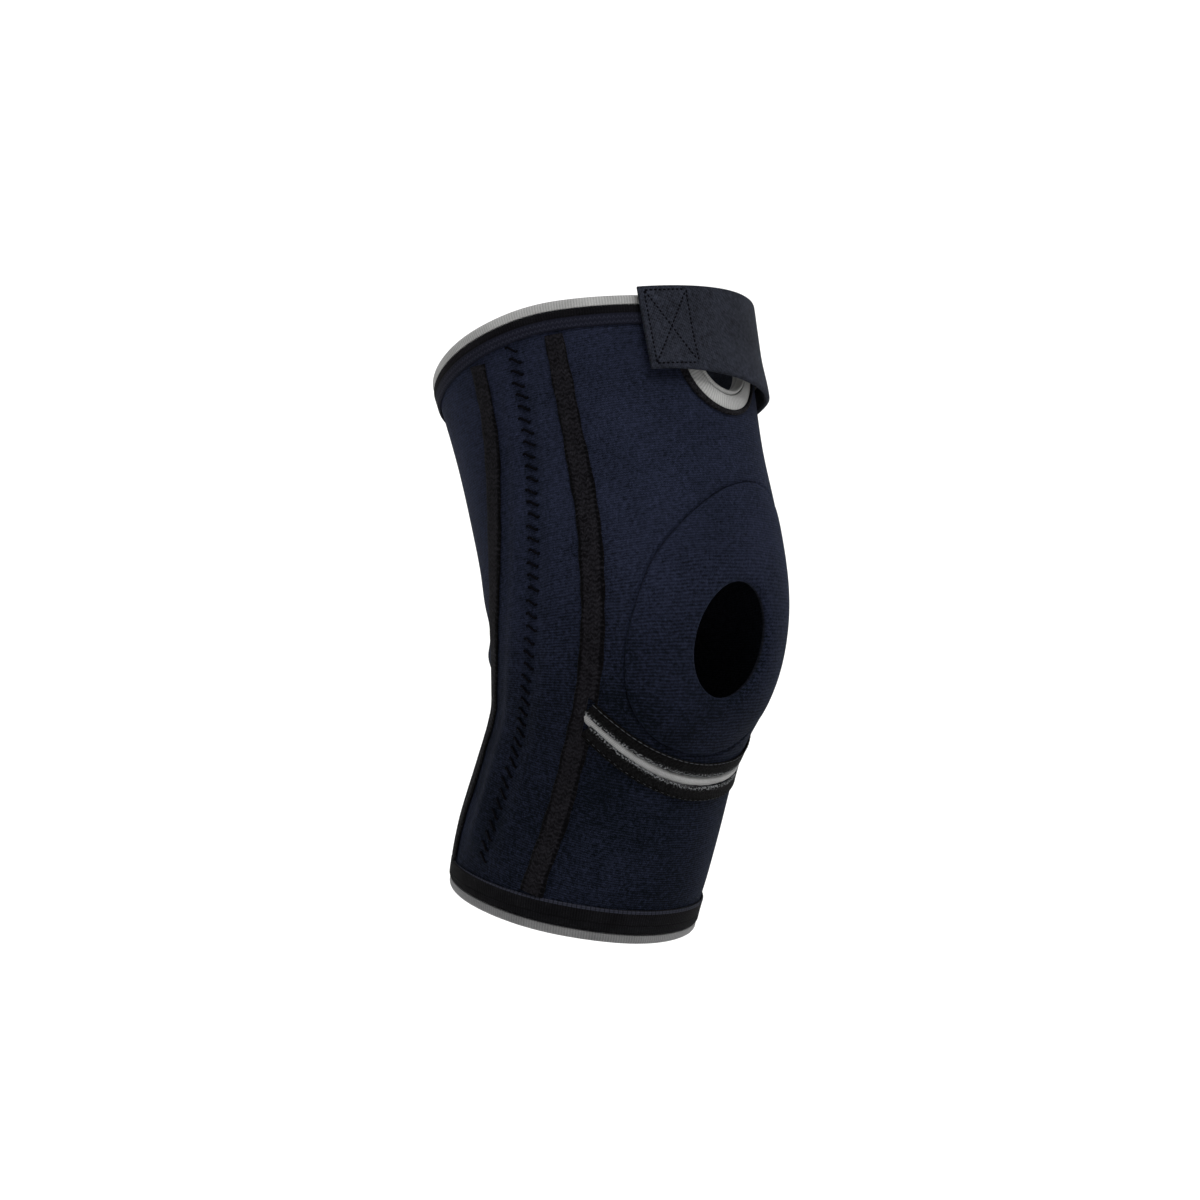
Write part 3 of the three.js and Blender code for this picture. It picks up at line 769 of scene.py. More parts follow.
@dataclass(frozen=True)
class Twill(TwoTone):
    """The strap's brushed loop cloth: a fine slanted weave under a fuzz."""

    def material(self) -> bpy.types.Material:
        """Builds the finish: two slanted waves make the weave, noise makes the brushed loops."""
        g = Graph(self.name)
        along, across = g.cloth()
        fuzz = g.noise(0.5, 4.0)
        tufts = g.noise(1.5, 3.0)
        slant = ((along + across * 0.6 + (fuzz - 0.5) * 0.8) / 0.95).wave()
        cross = ((along * 0.5 - across) / 1.3).wave()
        height = slant * 0.25 + cross * 0.15 + fuzz * 0.8 + tufts * 0.5
        shade = height * 1.0 + tufts * 0.6 + g.noise(18.0, 3.0) * 0.5 - 0.98
        colour = g.blend(shade, self.dark, self.light)
        return g.finish(
            colour, height, 0.18, roughness=0.9, sheen_weight=0.02, sheen_roughness=0.6,
            sheen_tint=(0.7, 0.75, 0.9, 1.0), specular_ior_level=0.04,
        )


@dataclass(frozen=True)
class Yarn:
    """Sewing thread: a twisted ply."""

    name: str
    colour: tuple[float, ...]

    def material(self) -> bpy.types.Material:
        """Builds the finish: a slanted wave over the thread's own coordinates."""
        g = Graph(self.name)
        along, across = g.cloth()
        ply = ((along + across) / 0.5).wave()
        colour = g.blend(ply * 0.5 + 0.25, tuple(c * 0.6 for c in self.colour[:3]) + (1.0,), self.colour)
        return g.finish(colour, ply, 0.05, roughness=0.8, specular_ior_level=0.03)


@dataclass(frozen=True)
class HookTape:
    """Hook tape: rows of small stiff hooks on a plastic ground."""

    name: str = "hook_tape"

    def material(self) -> bpy.types.Material:
        """Builds the finish: hooks stand where two waves cross."""
        g = Graph(self.name)
        along, across = g.cloth()
        hooks = ((along / 1.3).wave() * (across / 1.1).wave()).step(0.25, 0.6)
        colour = g.blend(hooks, rgb(10, 10, 12), rgb(44, 44, 48))
        return g.finish(colour, hooks, 0.5, roughness=0.45, specular_ior_level=0.4)


class Finishes:
    """Every finish of the sleeve, built once."""

    def __init__(self) -> None:
        """Builds the materials."""
        self.navy = Knit("navy_jersey", rgb(3, 6, 9), rgb(39, 43, 61)).material()
        self.lining = Knit("dark_lining", rgb(8, 9, 12), rgb(34, 36, 44), depth=0.12).material()
        self.tape = CoverTape("cover_stitch_tape", rgb(2, 2, 3), rgb(31, 30, 34)).material()
        flecks = {"fleck": rgb(128, 130, 132), "width": 6.2}
        self.piping_tape_upper = CoverTape(
            "piping_tape_upper", rgb(2, 2, 2), rgb(16, 16, 17), **flecks
        ).material()
        self.piping_tape_lower = CoverTape(
            "piping_tape_lower", rgb(2, 2, 2), rgb(18, 18, 19), inner_sign=-1.0, **flecks
        ).material()
        self.top_hem = HemTape(
            "top_hem", rgb(4, 4, 5), rgb(27, 26, 30), rows=(-2.9, -0.9), ground=rgb(20, 21, 30),
            sway=1.2, line=0.9, row_strength=0.16,
        ).material()
        self.bottom_hem = HemTape(
            "bottom_hem", rgb(4, 4, 5), rgb(27, 27, 30), rows=(4.9, 4.2), line=-1.2, row_strength=0.3
        ).material()
        self.binding = RibKnit("gray_rib", rgb(104, 104, 104), rgb(168, 168, 166)).material()
        # Painted shade: a darker copy of the gray rib, standing in for the shade on the calf binding and on
        # the notch binding's under faces and walls.
        self.shaded_binding = RibKnit("shaded_rib", rgb(66, 66, 67), rgb(118, 118, 118)).material()
        self.piping = RibKnit("piping_rib", rgb(88, 88, 88), rgb(166, 166, 165), rib=0.8).material()
        self.strap = Twill("loop_cloth", rgb(9, 10, 13), rgb(47, 50, 60)).material()
        self.hook = HookTape().material()
        self.black_yarn = Yarn("black_yarn", rgb(4, 4, 8)).material()
        self.gray_yarn = Yarn("gray_yarn", rgb(74, 76, 80)).material()

    @staticmethod
    def dress(
        piece: bpy.types.Object,
        slot: Slot,
        outer: bpy.types.Material,
        inner: bpy.types.Material | None = None,
        node: str | None = None,
    ) -> None:
        """Gives a piece its finishes and hides the solid it replaces.

        Args:
            piece: The piece.
            slot: Its slot in the record; not used.
            outer: The finish of its outer face.
            inner: The finish of the rest, the same by default.
            node: The solid that it stands for; none for threads.
        """
        piece.data.materials.append(outer)
        piece.data.materials.append(inner or outer)
        if node is not None:
            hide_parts(node)


@dataclass(frozen=True)
class Trim:
    """Sizes that neighbouring pieces share, in millimetres."""

    gap: float = 0.3
    seam_gap: float = 0.1
    tape: float = 0.8
    tape_short: float = 1.2
    seam_tape: float = 10.0
    binding: float = 4.4
    proud: float = 0.7
    tape_gap: float = 0.45
    top_hem: float = 8.0
    calf_hem_front: float = 11.0
    calf_hem_back: float = 7.0

    @property
    def under(self) -> float:
        """Lift of a tape's under face."""
        return FORM.wall + self.tape_gap

    @property
    def top(self) -> float:
        """Lift of a tape's outer face."""
        return self.under + self.tape

    def panel_end(self, u: Array) -> Array:
        """Where panels stop below the top binding."""
        return FORM.rim(u) - self.binding - self.seam_gap / 2

    def panel_start(self, u: Array | float) -> Array:
        """Where panels start above the calf binding."""
        return FORM.calf_rim(u) + self.binding + self.seam_gap / 2

    def calf_hem(self, u: Array | float) -> Array:
        """The calf hem's width, narrower at the back."""
        return self.calf_hem_back + (self.calf_hem_front - self.calf_hem_back) * (1 + np.cos(u)) / 2

    def seam_edge(self, seam: Seam, s: Array, inward: float) -> Array:
        """A panel's edge beside a seam; inward is the sign of the way into the panel."""
        u = FORM.seam(seam, s)
        return u + inward * self.seam_gap / 2 / FORM.scale(u, s)[0]


TRIM = Trim()


@dataclass(frozen=True)
class PipedSeam:
    """The curved seam below the pad: a gray bead with a flecked black tape on each side."""

    width: float = 4.0
    tape_width: float = 6.2
    clearance: float = 0.9
    pad_along: float = FORM.knee + 16.5
    pad_half: float = 44.5
    turn: float = math.radians(-12)
    reach: float = math.radians(68)
    rise: float = 17.0
    power: float = 2.4
    proud: float = 1.1
    slant: float = 0.3
    end_gap: float = 0.6
    edge: float = 2.1

    def along(self, u: Array | float) -> Array:
        """The seam's place along: lowest at the front, rising as a power of the turn."""
        low = self.pad_along - self.pad_half - self.width / 2 - TRIM.gap - self.tape_width - self.clearance
        return low + self.rise * (np.abs(u - self.turn) / self.reach) ** self.power

    def near(self, u: Array | float, distance: Array | float) -> Array:
        """The place along that lies a distance in millimetres above the piped seam."""
        s = self.along(u)
        return s + distance / FORM.scale(u, s)[1]

    def line(self, distance: float, width: float, count: int = 260) -> Line:
        """A line at a distance above the piped seam, from one front seam to the other."""
        clear = TRIM.seam_gap / 2 + (TRIM.gap + width * self.slant if distance else self.end_gap)
        ends = []
        for seam, sign in ((Seam.FRONT_LEFT, -1), (Seam.FRONT_RIGHT, 1)):
            u = float(FORM.seam(seam, self.along(0.0)))
            for _ in range(8):
                s = self.near(u, distance)
                u = float(FORM.seam(seam, s) - sign * clear / FORM.scale(u, s)[0])
            ends.append(u)
        u = np.linspace(*ends, count)
        return Line(u, self.near(u, distance))

    def build(self, finishes: Finishes) -> list[bpy.types.Object]:
        """Makes the bead, an arch over its width, and the two tapes."""
        arc = np.radians(np.linspace(180, 0, 13))
        line = self.line(0, self.width)
        run = line.lengths()[:, None]
        waver = 0.1 + 0.09 * np.sin(run / 0.9) + 0.07 * np.sin(run / 2.7 + 1)
        across = (self.width / 2 + waver) * np.cos(arc)
        top = FORM.wall * 0.7 + (FORM.wall * 0.3 + self.proud) * np.sin(arc)
        bead = ribbon("curved_piping_bead", line, across, top, np.full(13, FORM.wall * 0.25))
        Finishes.dress(bead, Slot.BINDING, finishes.piping, node="curved_piping")
        away = self.edge + self.tape_width / 2
        section = pillow(self.tape_width, TRIM.under, TRIM.top, 0.5, 23)
        made = [bead]
        for name, side, finish in (
            ("piping_tape_upper", 1, finishes.piping_tape_upper),
            ("piping_tape_lower", -1, finishes.piping_tape_lower),
        ):
            tape = ribbon(f"{name}_cloth", self.line(side * away, self.tape_width), *section)
            Finishes.dress(tape, Slot.TAPE, finish, node=name)
            made.append(tape)
        return made


PIPED = PipedSeam()


@dataclass(frozen=True)
class Notch:
    """The U cut into the thigh rim, with its gray binding and black tape."""

    turn: float = math.radians(-8)
    radius: float = 24.3
    depth: float = 48.0
    binding: float = 8.8
    roll: float = 2.6
    below: float = 0.6
    tape: float = 3.5
    tape_slims: float = 0.5

    @property
    def centre(self) -> float:
        """Where the U's round end has its middle."""
        return FORM.length - self.depth + self.radius

    def depth_inside(self, u: Array, s: Array, radius: float) -> tuple[Array, Array, Array]:
        """Distance out from a U of a radius, and the nearest chart place on it.

        Args:
            u: Turns.
            s: Places along.
            radius: The U's radius.

        Returns:
            The distance, below nought inside, and the nearest u and s.
        """
        size = FORM.scale(np.full_like(s, self.turn), s)[0]
        x = (u - self.turn) * size
        y = np.minimum(s - self.centre, 0)
        far = np.maximum(np.hypot(x, y), 1e-6)
        near_u = self.turn + x * radius / far / size
        near_s = np.maximum(s, self.centre) + y * radius / far
        return far - radius, near_u, near_s

    def line(self, radius: float, top: float, count: int = 60) -> Line:
        """A U at a radius from the notch's middle line, from its right arm round to its left."""
        arm = np.linspace(top, self.centre, count // 2)[:-1]
        angle = np.linspace(0, -math.pi, count)
        x = np.concatenate([np.full(arm.size, radius), radius * np.cos(angle), np.full(arm.size, -radius)])
        s = np.concatenate([arm, self.centre + radius * np.sin(angle), arm[::-1]])
        return Line(self.turn + x / FORM.scale(np.full_like(s, self.turn), s)[0], s)

    def build(self, finishes: Finishes) -> list[bpy.types.Object]:
        """Makes the binding, a flat ribbed band, a groove and a rolled lip, and the tape round it."""
        edge = self.binding / 2
        roll = np.radians(np.linspace(180, 20, 9))
        lip = np.stack([-edge + self.roll / 2 + self.roll / 2 * np.cos(roll), np.sin(roll)], 1)
        band = np.linspace(-edge + self.roll + 0.2, edge, 12)
        across = np.concatenate([lip[:, 0], band])
        proud = FORM.wall + TRIM.proud
        swell = np.sin(np.clip((band - band[0]) / (band[-1] - band[0]), 0, 1) * math.pi) ** 0.6
        middle = FORM.wall * 0.5
        lip_top = middle + (proud + 0.3 - middle) * lip[:, 1]
        lip_under = middle - (middle + self.below) * lip[:, 1]
        top = np.concatenate([lip_top, proud - 0.25 + 0.25 * swell])
        under = np.concatenate([lip_under, np.full(band.size, -self.below)])
        line = self.line(self.radius - edge, FORM.length)
        binding = ribbon("notch_binding_cloth", line, across, top, under)
        # The notch binding's under faces and walls take the painted-shade copy of the rib.
        inner = finishes.shaded_binding
        Finishes.dress(binding, Slot.BINDING, finishes.binding, inner, "notch_binding")
        radius = self.radius + TRIM.gap + self.tape / 2
        stop = float(FORM.rim(self.turn - radius / FORM.half_width)) - TRIM.binding - TRIM.tape_short
        line = self.line(radius, stop)
        place, top, under = pillow(self.tape, TRIM.under, TRIM.top, 1.0, 11)
        slim = 1 - self.tape_slims * smooth((np.linspace(0, 1, len(line.u)) - 0.25) / 0.35)[:, None]
        across = (place + self.tape / 2) * slim - self.tape / 2
        tape = ribbon("notch_tape_cloth", line, across, top, under)
        Finishes.dress(tape, Slot.TAPE, finishes.tape, node="notch_tape")
        return [binding, tape]


NOTCH = Notch()


# The cushion's height from the hole's edge to its outline: share of the way, share of the rise.
CROWN = np.array([
    [0.075, 0.35], [0.16, 0.7], [0.3, 0.95], [0.5, 1.0], [0.72, 0.85], [0.9, 0.5], [1.0, 0.3],
])


@dataclass(frozen=True)
class PatellaPad:
    """The egg-shaped cushion round the open kneecap."""

    turn: float = math.radians(-5)
    along: float = FORM.knee + 16.5
    half_turn: float = math.radians(50)
    half_length: float = 44.5
    lean: float = math.radians(8)
    taper: float = 0.18
    rise: float = 1.5
    groove: float = 0.25
    groove_dip: float = 0.9
    hole_turn: float = math.radians(1)
    hole_along: float = FORM.knee + 6.5
    hole_lean: float = math.radians(1.5)
    hole_half_turn: float = math.radians(19.5)
    hole_half_length: float = 16.5
    rays: int = 240

    def edge(self, angle: Array, grow: float = 0.0) -> tuple[Array, Array]:
        """The egg's outline: an ellipse that narrows and leans as it rises."""
        rise = np.sin(angle)
        reach = self.half_turn * (1 - self.taper * rise) + grow / FORM.half_width
        u = self.turn - self.lean * rise + reach * np.cos(angle)
        return u, self.along + (self.half_length + grow) * rise

    def hole(self, angle: Array) -> tuple[Array, Array]:
        """The kneecap hole's outline, a leaning ellipse in the chart."""
        return (
            self.hole_turn - self.hole_lean * np.sin(angle) + self.hole_half_turn * np.cos(angle),
            self.hole_along + self.hole_half_length * np.sin(angle),
        )

    def build(self, finishes: Finishes) -> list[bpy.types.Object]:
        """Makes the cushion: rays from the rolled hole edge, over the crown, down into the groove."""
        angle = np.linspace(0, TURN, self.rays + 1)[:-1, None]
        quarter = np.linspace(0, math.pi / 2, 7)
        roll = np.sin(quarter)
        groove = [0.95, 0.965, 0.978, 0.989, 0.996, 1.0]
        share = np.concatenate([0.075 * (1 - np.cos(quarter)), np.linspace(0.1, 0.93, 30), groove])
        outer_u, outer_s = self.edge(angle)
        hole_u, hole_s = self.hole(angle)
        u = hole_u + (outer_u - hole_u) * share
        s = hole_s + (outer_s - hole_s) * share
        top = FORM.wall + self.rise * np.interp(share, *CROWN.T)
        top[: roll.size] = FORM.wall * 0.45 + (FORM.wall * 0.55 + self.rise * 0.35) * roll
        near = np.clip((1 - share) / 0.035, 0, 1)
        top = top - self.groove_dip * (1 - np.sqrt(1 - (1 - near) ** 2))
        under = np.zeros_like(top)
        under[: roll.size] = FORM.wall * 0.3 * (1 - roll)
        faces = FORM.point(u, s, top), FORM.point(u, s, under)
        pad = Cloth.closed("patella_cushion", *faces, chart_uv(u, s, True), ring_rows=True)
        Finishes.dress(pad, Slot.NEOPRENE, finishes.navy, finishes.lining, "patella_pad")
        return [pad]


PAD = PatellaPad()


@dataclass(frozen=True)
class Panels:
    """The neoprene panels: upper and lower front, two sides and the back."""

    stay_rise: float = 1.3
    stay_from: float = 0.18
    stay_to: float = 0.46
    stay_fade: float = 26.0
    pucker_pitch: float = 4.9
    pucker_start: float = 18.0
    pucker_depth: float = 0.75
    pucker_width: float = 3.2
    pucker_slant: float = 0.81
    pucker_even: float = 0.35
    pucker_from: float = 16.0
    pucker_end: float = 14.0
    pucker_fade: float = 8.0
    dip_width: float = 1.6
    rays: int = 300
    rings: int = 60
    ring_growth: float = 1.6
    farthest: float = 8.0
    halvings: int = 40

    def upper_front(self) -> bpy.types.Object:
        """Rays from the pad's groove out to the seams, the piping and the rim, less the notch.

        Each ray runs through the chart from the pad's middle; halving finds where it leaves
        the panel. Cells inside the notch go, and corners just inside move onto its outline.
        """
        angle = np.linspace(0, TURN, self.rays + 1)[:-1]
        start_u, start_s = PAD.edge(angle, PAD.groove)
        du, ds = start_u - PAD.turn, start_s - PAD.along
        low, high = np.ones_like(angle), np.full_like(angle, self.farthest)
        for _ in range(self.halvings):
            t = (low + high) / 2
            u, s = PAD.turn + t * du, PAD.along + t * ds
            inside = u > TRIM.seam_edge(Seam.FRONT_LEFT, s, 1)
            inside &= u < TRIM.seam_edge(Seam.FRONT_RIGHT, s, -1)
            inside &= (s > PIPED.near(u, PIPED.edge)) & (s < TRIM.panel_end(u))
            low, high = np.where(inside, t, low), np.where(inside, high, t)
        spread = np.linspace(0, 1, self.rings)
        spread = np.expm1(self.ring_growth * spread) / math.expm1(self.ring_growth)
        t = 1 + (low[:, None] - 1) * spread
        u, s = PAD.turn + t * du[:, None], PAD.along + t * ds[:, None]
        away, near_u, near_s = NOTCH.depth_inside(u, s, NOTCH.radius + TRIM.gap)
        out = away > 0
        either = out | np.roll(out, -1, 0)
        keep = either[:, :-1] | either[:, 1:]
        u, s = np.where(out, u, near_u), np.where(out, s, near_s)
        step = np.hypot(du, ds / FORM.half_width)[:, None] * FORM.half_width * (t - 1)
        top = FORM.wall - PAD.groove_dip * (1 - smooth(step / self.dip_width))
        return self._panel("upper_front", u, s, top, ring_rows=True, keep=keep)

    @staticmethod
    def _panel(name: str, u: Array, s: Array, top: Array | float, **options: Any) -> bpy.types.Object:
        """Closes a chart grid into a panel with its neoprene's thickness and cloth coordinates."""
        uv = chart_uv(u, s, options.get("ring_rows", False))
        faces = FORM.point(u, s, top), FORM.point(u, s, 0.0)
        return Cloth.closed(f"{name}_panel_cloth", *faces, uv, **options)

    @staticmethod
    def grid(left: Any, right: Any, low: Any, high: Any, rows: int, columns: Array) -> tuple[Array, Array]:
        """A chart grid between two side lines of s and two end lines of u, found by repeating.

        Args:
            left: Turn of the left side for s.
            right: Turn of the right side for s.
            low: Lower end for u.
            high: Upper end for u.
            rows: Rows along.
            columns: Shares across.

        Returns:
            u and s, rows by columns.
        """
        b = np.linspace(0, 1, rows)[:, None]
        a = np.asarray(columns)[None, :]
        u = np.zeros((rows, a.size))
        for _ in range(8):
            s = low(u) + (high(u) - low(u)) * b
            u = left(s) + (right(s) - left(s)) * a
        return u, s

    def lower_front(self) -> bpy.types.Object:
        """The front below the piping."""
        u, s = self.grid(
            lambda s: TRIM.seam_edge(Seam.FRONT_LEFT, s, 1),
            lambda s: TRIM.seam_edge(Seam.FRONT_RIGHT, s, -1),
            TRIM.panel_start,
            lambda u: PIPED.near(u, -PIPED.edge),
            60, np.linspace(0, 1, 90),
        )
        return self._panel("lower_front", u, s, FORM.wall)

    def stays(self, a: Array, u: Array, s: Array) -> Array:
        """Lift of a side panel: two humps, squared sines across, that fade out near the hems."""
        half = np.minimum(a, 1 - a)
        across = (half - self.stay_from) / (self.stay_to - self.stay_from)
        hump = np.where((across > 0) & (across < 1), np.sin(math.pi * np.clip(across, 0, 1)) ** 2, 0)
        low = TRIM.panel_start(u) + TRIM.calf_hem(u) + TRIM.gap
        high = FORM.rim(u) - TRIM.binding - TRIM.top_hem - 2 * TRIM.gap
        ends = smooth((s - low) / self.stay_fade) * smooth((high - s) / self.stay_fade)
        return self.stay_rise * hump * ends

    def puckers(self, across: Array, s: Array) -> Array:
        """Dimples along the zigzag seam: a valley cut at each slanted stitch, a puff between."""
        valley = np.exp(-((across / self.pucker_width) ** 2))
        phase = (s - self.pucker_start - across * self.pucker_slant) / self.pucker_pitch
        bite = np.cos(math.pi * phase) ** 4
        return -self.pucker_depth * valley * (self.pucker_even + (1 - self.pucker_even) * bite)

    def side(self, name: str, front: Seam, rear: Seam) -> bpy.types.Object:
        """A side panel with its stay channels and the puckered zigzag seam down its middle."""
        inward = front.value[1]
        columns = np.linspace(0, 1, 61)
        u, s = self.grid(
            lambda s: TRIM.seam_edge(front, s, inward),
            lambda s: TRIM.seam_edge(rear, s, -inward),
            TRIM.panel_start,
            TRIM.panel_end,
            260, columns,
        )
        a = np.broadcast_to(columns, u.shape)
        middle = (FORM.seam(front, s) + FORM.seam(rear, s)) / 2
        across = (u - middle) * FORM.scale(u, s)[0] * inward
        fade = smooth((s - self.pucker_from) / self.pucker_fade)
        fade = fade * smooth((FORM.rim(u) - self.pucker_end - s) / self.pucker_fade)
        top = FORM.wall + self.stays(a, u, s) + self.puckers(across, s) * fade
        return self._panel(name, u, s, top)

    def back(self) -> bpy.types.Object:
        """The back panel, whose folds are part of the worn form."""
        u, s = self.grid(
            lambda s: TRIM.seam_edge(Seam.REAR_RIGHT, s, 1),
            lambda s: TRIM.seam_edge(Seam.REAR_LEFT, s, -1) + TURN,
            TRIM.panel_start,
            TRIM.panel_end,
            170, np.linspace(0, 1, 110),
        )
        return self._panel("back", u, s, FORM.wall)

    def build(self, finishes: Finishes) -> list[bpy.types.Object]:
        """Makes and dresses the five panels."""
        made = {
            "upper_front_panel": self.upper_front(),
            "lower_front_panel": self.lower_front(),
            "side_panel_right": self.side("side_right", Seam.FRONT_RIGHT, Seam.REAR_RIGHT),
            "side_panel_left": self.side("side_left", Seam.FRONT_LEFT, Seam.REAR_LEFT),
            "back_panel": self.back(),
        }
        for node, piece in made.items():
            Finishes.dress(piece, Slot.NEOPRENE, finishes.navy, finishes.lining, node)
        return list(made.values())


@dataclass(frozen=True)
class SeamTapes:
    """Cover-stitched tapes over the four long seams."""

    stations: int = 240
    edge: float = 2.2
    taper: float = 0.2
    taper_from: float = 150.0
    taper_length: float = 80.0

    def line(self, seam: Seam) -> Line:
        """The seam between the two hems."""
        foot = FORM.seam(seam, 0.0)
        low = float(TRIM.panel_start(foot) + TRIM.calf_hem(foot)) + TRIM.tape_short
        turn = float(FORM.seam(seam, FORM.length - 2 * TRIM.top_hem))
        half = TRIM.seam_tape / 2 / FORM.half_width
        end = min(float(FORM.rim(turn - half)), float(FORM.rim(turn + half)))
        high = end - TRIM.binding - TRIM.top_hem - TRIM.gap - TRIM.tape_short
        s = np.linspace(low, high, self.stations)
        return Line(FORM.seam(seam, s), s)

    @staticmethod
    def give_way(seam: Seam, across: Array, u: Array, s: Array) -> tuple[Array, Array]:
        """Opens a front tape's inner half where the piping and its tapes run up to the seam.

        Args:
            seam: The tape's seam.
            across: Places across the tape in millimetres.
            u: The grid's turns.
            s: The grid's places along.

        Returns:
            The places along, with corners inside the opening moved to its edge, and the cells kept.
        """
        inner = across * seam.value[1] > 0.55
        reach = PIPED.edge + TRIM.gap + PIPED.tape_width + 0.7
        away = (s - PIPED.along(u)) * FORM.scale(u, s)[1]
        inside = inner & (np.abs(away) < reach)
        corners = inside[:-1, :-1] & inside[1:, :-1] & inside[:-1, 1:] & inside[1:, 1:]
        return np.where(inside, PIPED.near(u, np.sign(away) * reach), s), ~corners

    def build(self, finishes: Finishes) -> list[bpy.types.Object]:
        """Makes each tape: a rounded band whose edges wander a little."""
        made = []
        place, top, under = pillow(TRIM.seam_tape, TRIM.under, TRIM.top, self.edge, 19)
        for seam, node in (
            (Seam.FRONT_RIGHT, "front_seam_tape_right"),
            (Seam.FRONT_LEFT, "front_seam_tape_left"),
            (Seam.REAR_RIGHT, "rear_seam_tape_right"),
            (Seam.REAR_LEFT, "rear_seam_tape_left"),
        ):
            line = self.line(seam)
            run = line.lengths()[:, None]
            wander = 1 + 0.035 * np.sin(run / 2.3) + 0.03 * np.sin(run / 5.9 + 2)
            above = (line.s[:, None] - self.taper_from) / self.taper_length
            across = place * (wander - self.taper * smooth(above))
            u, s = line.beside(across)
            keep = None
            if seam in (Seam.FRONT_RIGHT, Seam.FRONT_LEFT):
                s, keep = self.give_way(seam, across, u, s)
            uv = np.stack([np.broadcast_to(run, across.shape), across], -1)
            tape = Cloth.closed(
                f"{node}_cloth", FORM.point(u, s, top), FORM.point(u, s, under), uv, keep=keep
            )
            Finishes.dress(tape, Slot.TAPE, finishes.tape, node=node)
            made.append(tape)
        return made


@dataclass(frozen=True)
class Rims:
    """The bindings and hem tapes of the thigh rim and the calf rim."""

    stations: int = 220

    def thigh_line(self, below: float, clear: float) -> Line:
        """A line under the thigh rim, from one side of the notch round to the other."""
        reach = (NOTCH.radius + clear) / float(FORM.scale(NOTCH.turn, FORM.length)[0])
        u = np.linspace(NOTCH.turn + reach, NOTCH.turn + TURN - reach, self.stations)
        return Line(u, FORM.rim(u) - below)

    def calf_line(self, above: Array | float) -> Line:
        """A closed line round the calf at a height over the rim."""
        u = self.calf_turns()
        return Line(u, FORM.calf_rim(u) + above, ring=True)

    def calf_turns(self) -> Array:
        """The turns of a line round the calf."""
        return np.arange(self.stations) * TURN / self.stations

    @staticmethod
    def bound(free: float) -> tuple[Array, Array, Array]:
        """A binding's section: flat beside the panel and a half circle at its free edge."""
        width, middle = TRIM.binding, FORM.wall / 2
        half = middle + TRIM.proud
        round_ = min(width, 2 * half) / 2
        angle = np.radians(np.linspace(90, 2, 9))
        place = np.concatenate([[-width / 2, -width / 2 + 0.2], width / 2 - round_ + round_ * np.cos(angle)])
        bulge = np.concatenate([[half - 0.35, half - 0.05], half * np.sin(angle)])
        return free * place, middle + bulge, middle - bulge

    def build(self, finishes: Finishes) -> list[bpy.types.Object]:
        """Makes the two bindings and the two hem tapes."""
        hem = TRIM.calf_hem(self.calf_turns())
        place, top, under = pillow(1.0, TRIM.under, TRIM.top, 0.12, 21)
        above = TRIM.binding + TRIM.gap
        clear = 2 * TRIM.gap + NOTCH.tape + TRIM.tape_short
        rows = [
            (
                "top_binding", self.thigh_line(TRIM.binding / 2, 2 * TRIM.gap),
                self.bound(1), Slot.BINDING, finishes.binding,
            ),
            (
                "bottom_binding", self.calf_line(TRIM.binding / 2),
                self.bound(-1), Slot.BINDING, finishes.shaded_binding,
            ),
            (
                "top_hem_tape", self.thigh_line(above + TRIM.top_hem / 2, clear),
                pillow(TRIM.top_hem, TRIM.under, TRIM.top, 1.2, 19), Slot.TAPE, finishes.top_hem,
            ),
            (
                "bottom_hem_tape", self.calf_line(above + hem / 2),
                (place * hem[:, None], top, under), Slot.TAPE, finishes.bottom_hem,
            ),
        ]
        made = []
        for node, line, section, slot, finish in rows:
            piece = ribbon(f"{node}_cloth", line, *section)
            Finishes.dress(piece, slot, finish, node=node)
            made.append(piece)
        return made


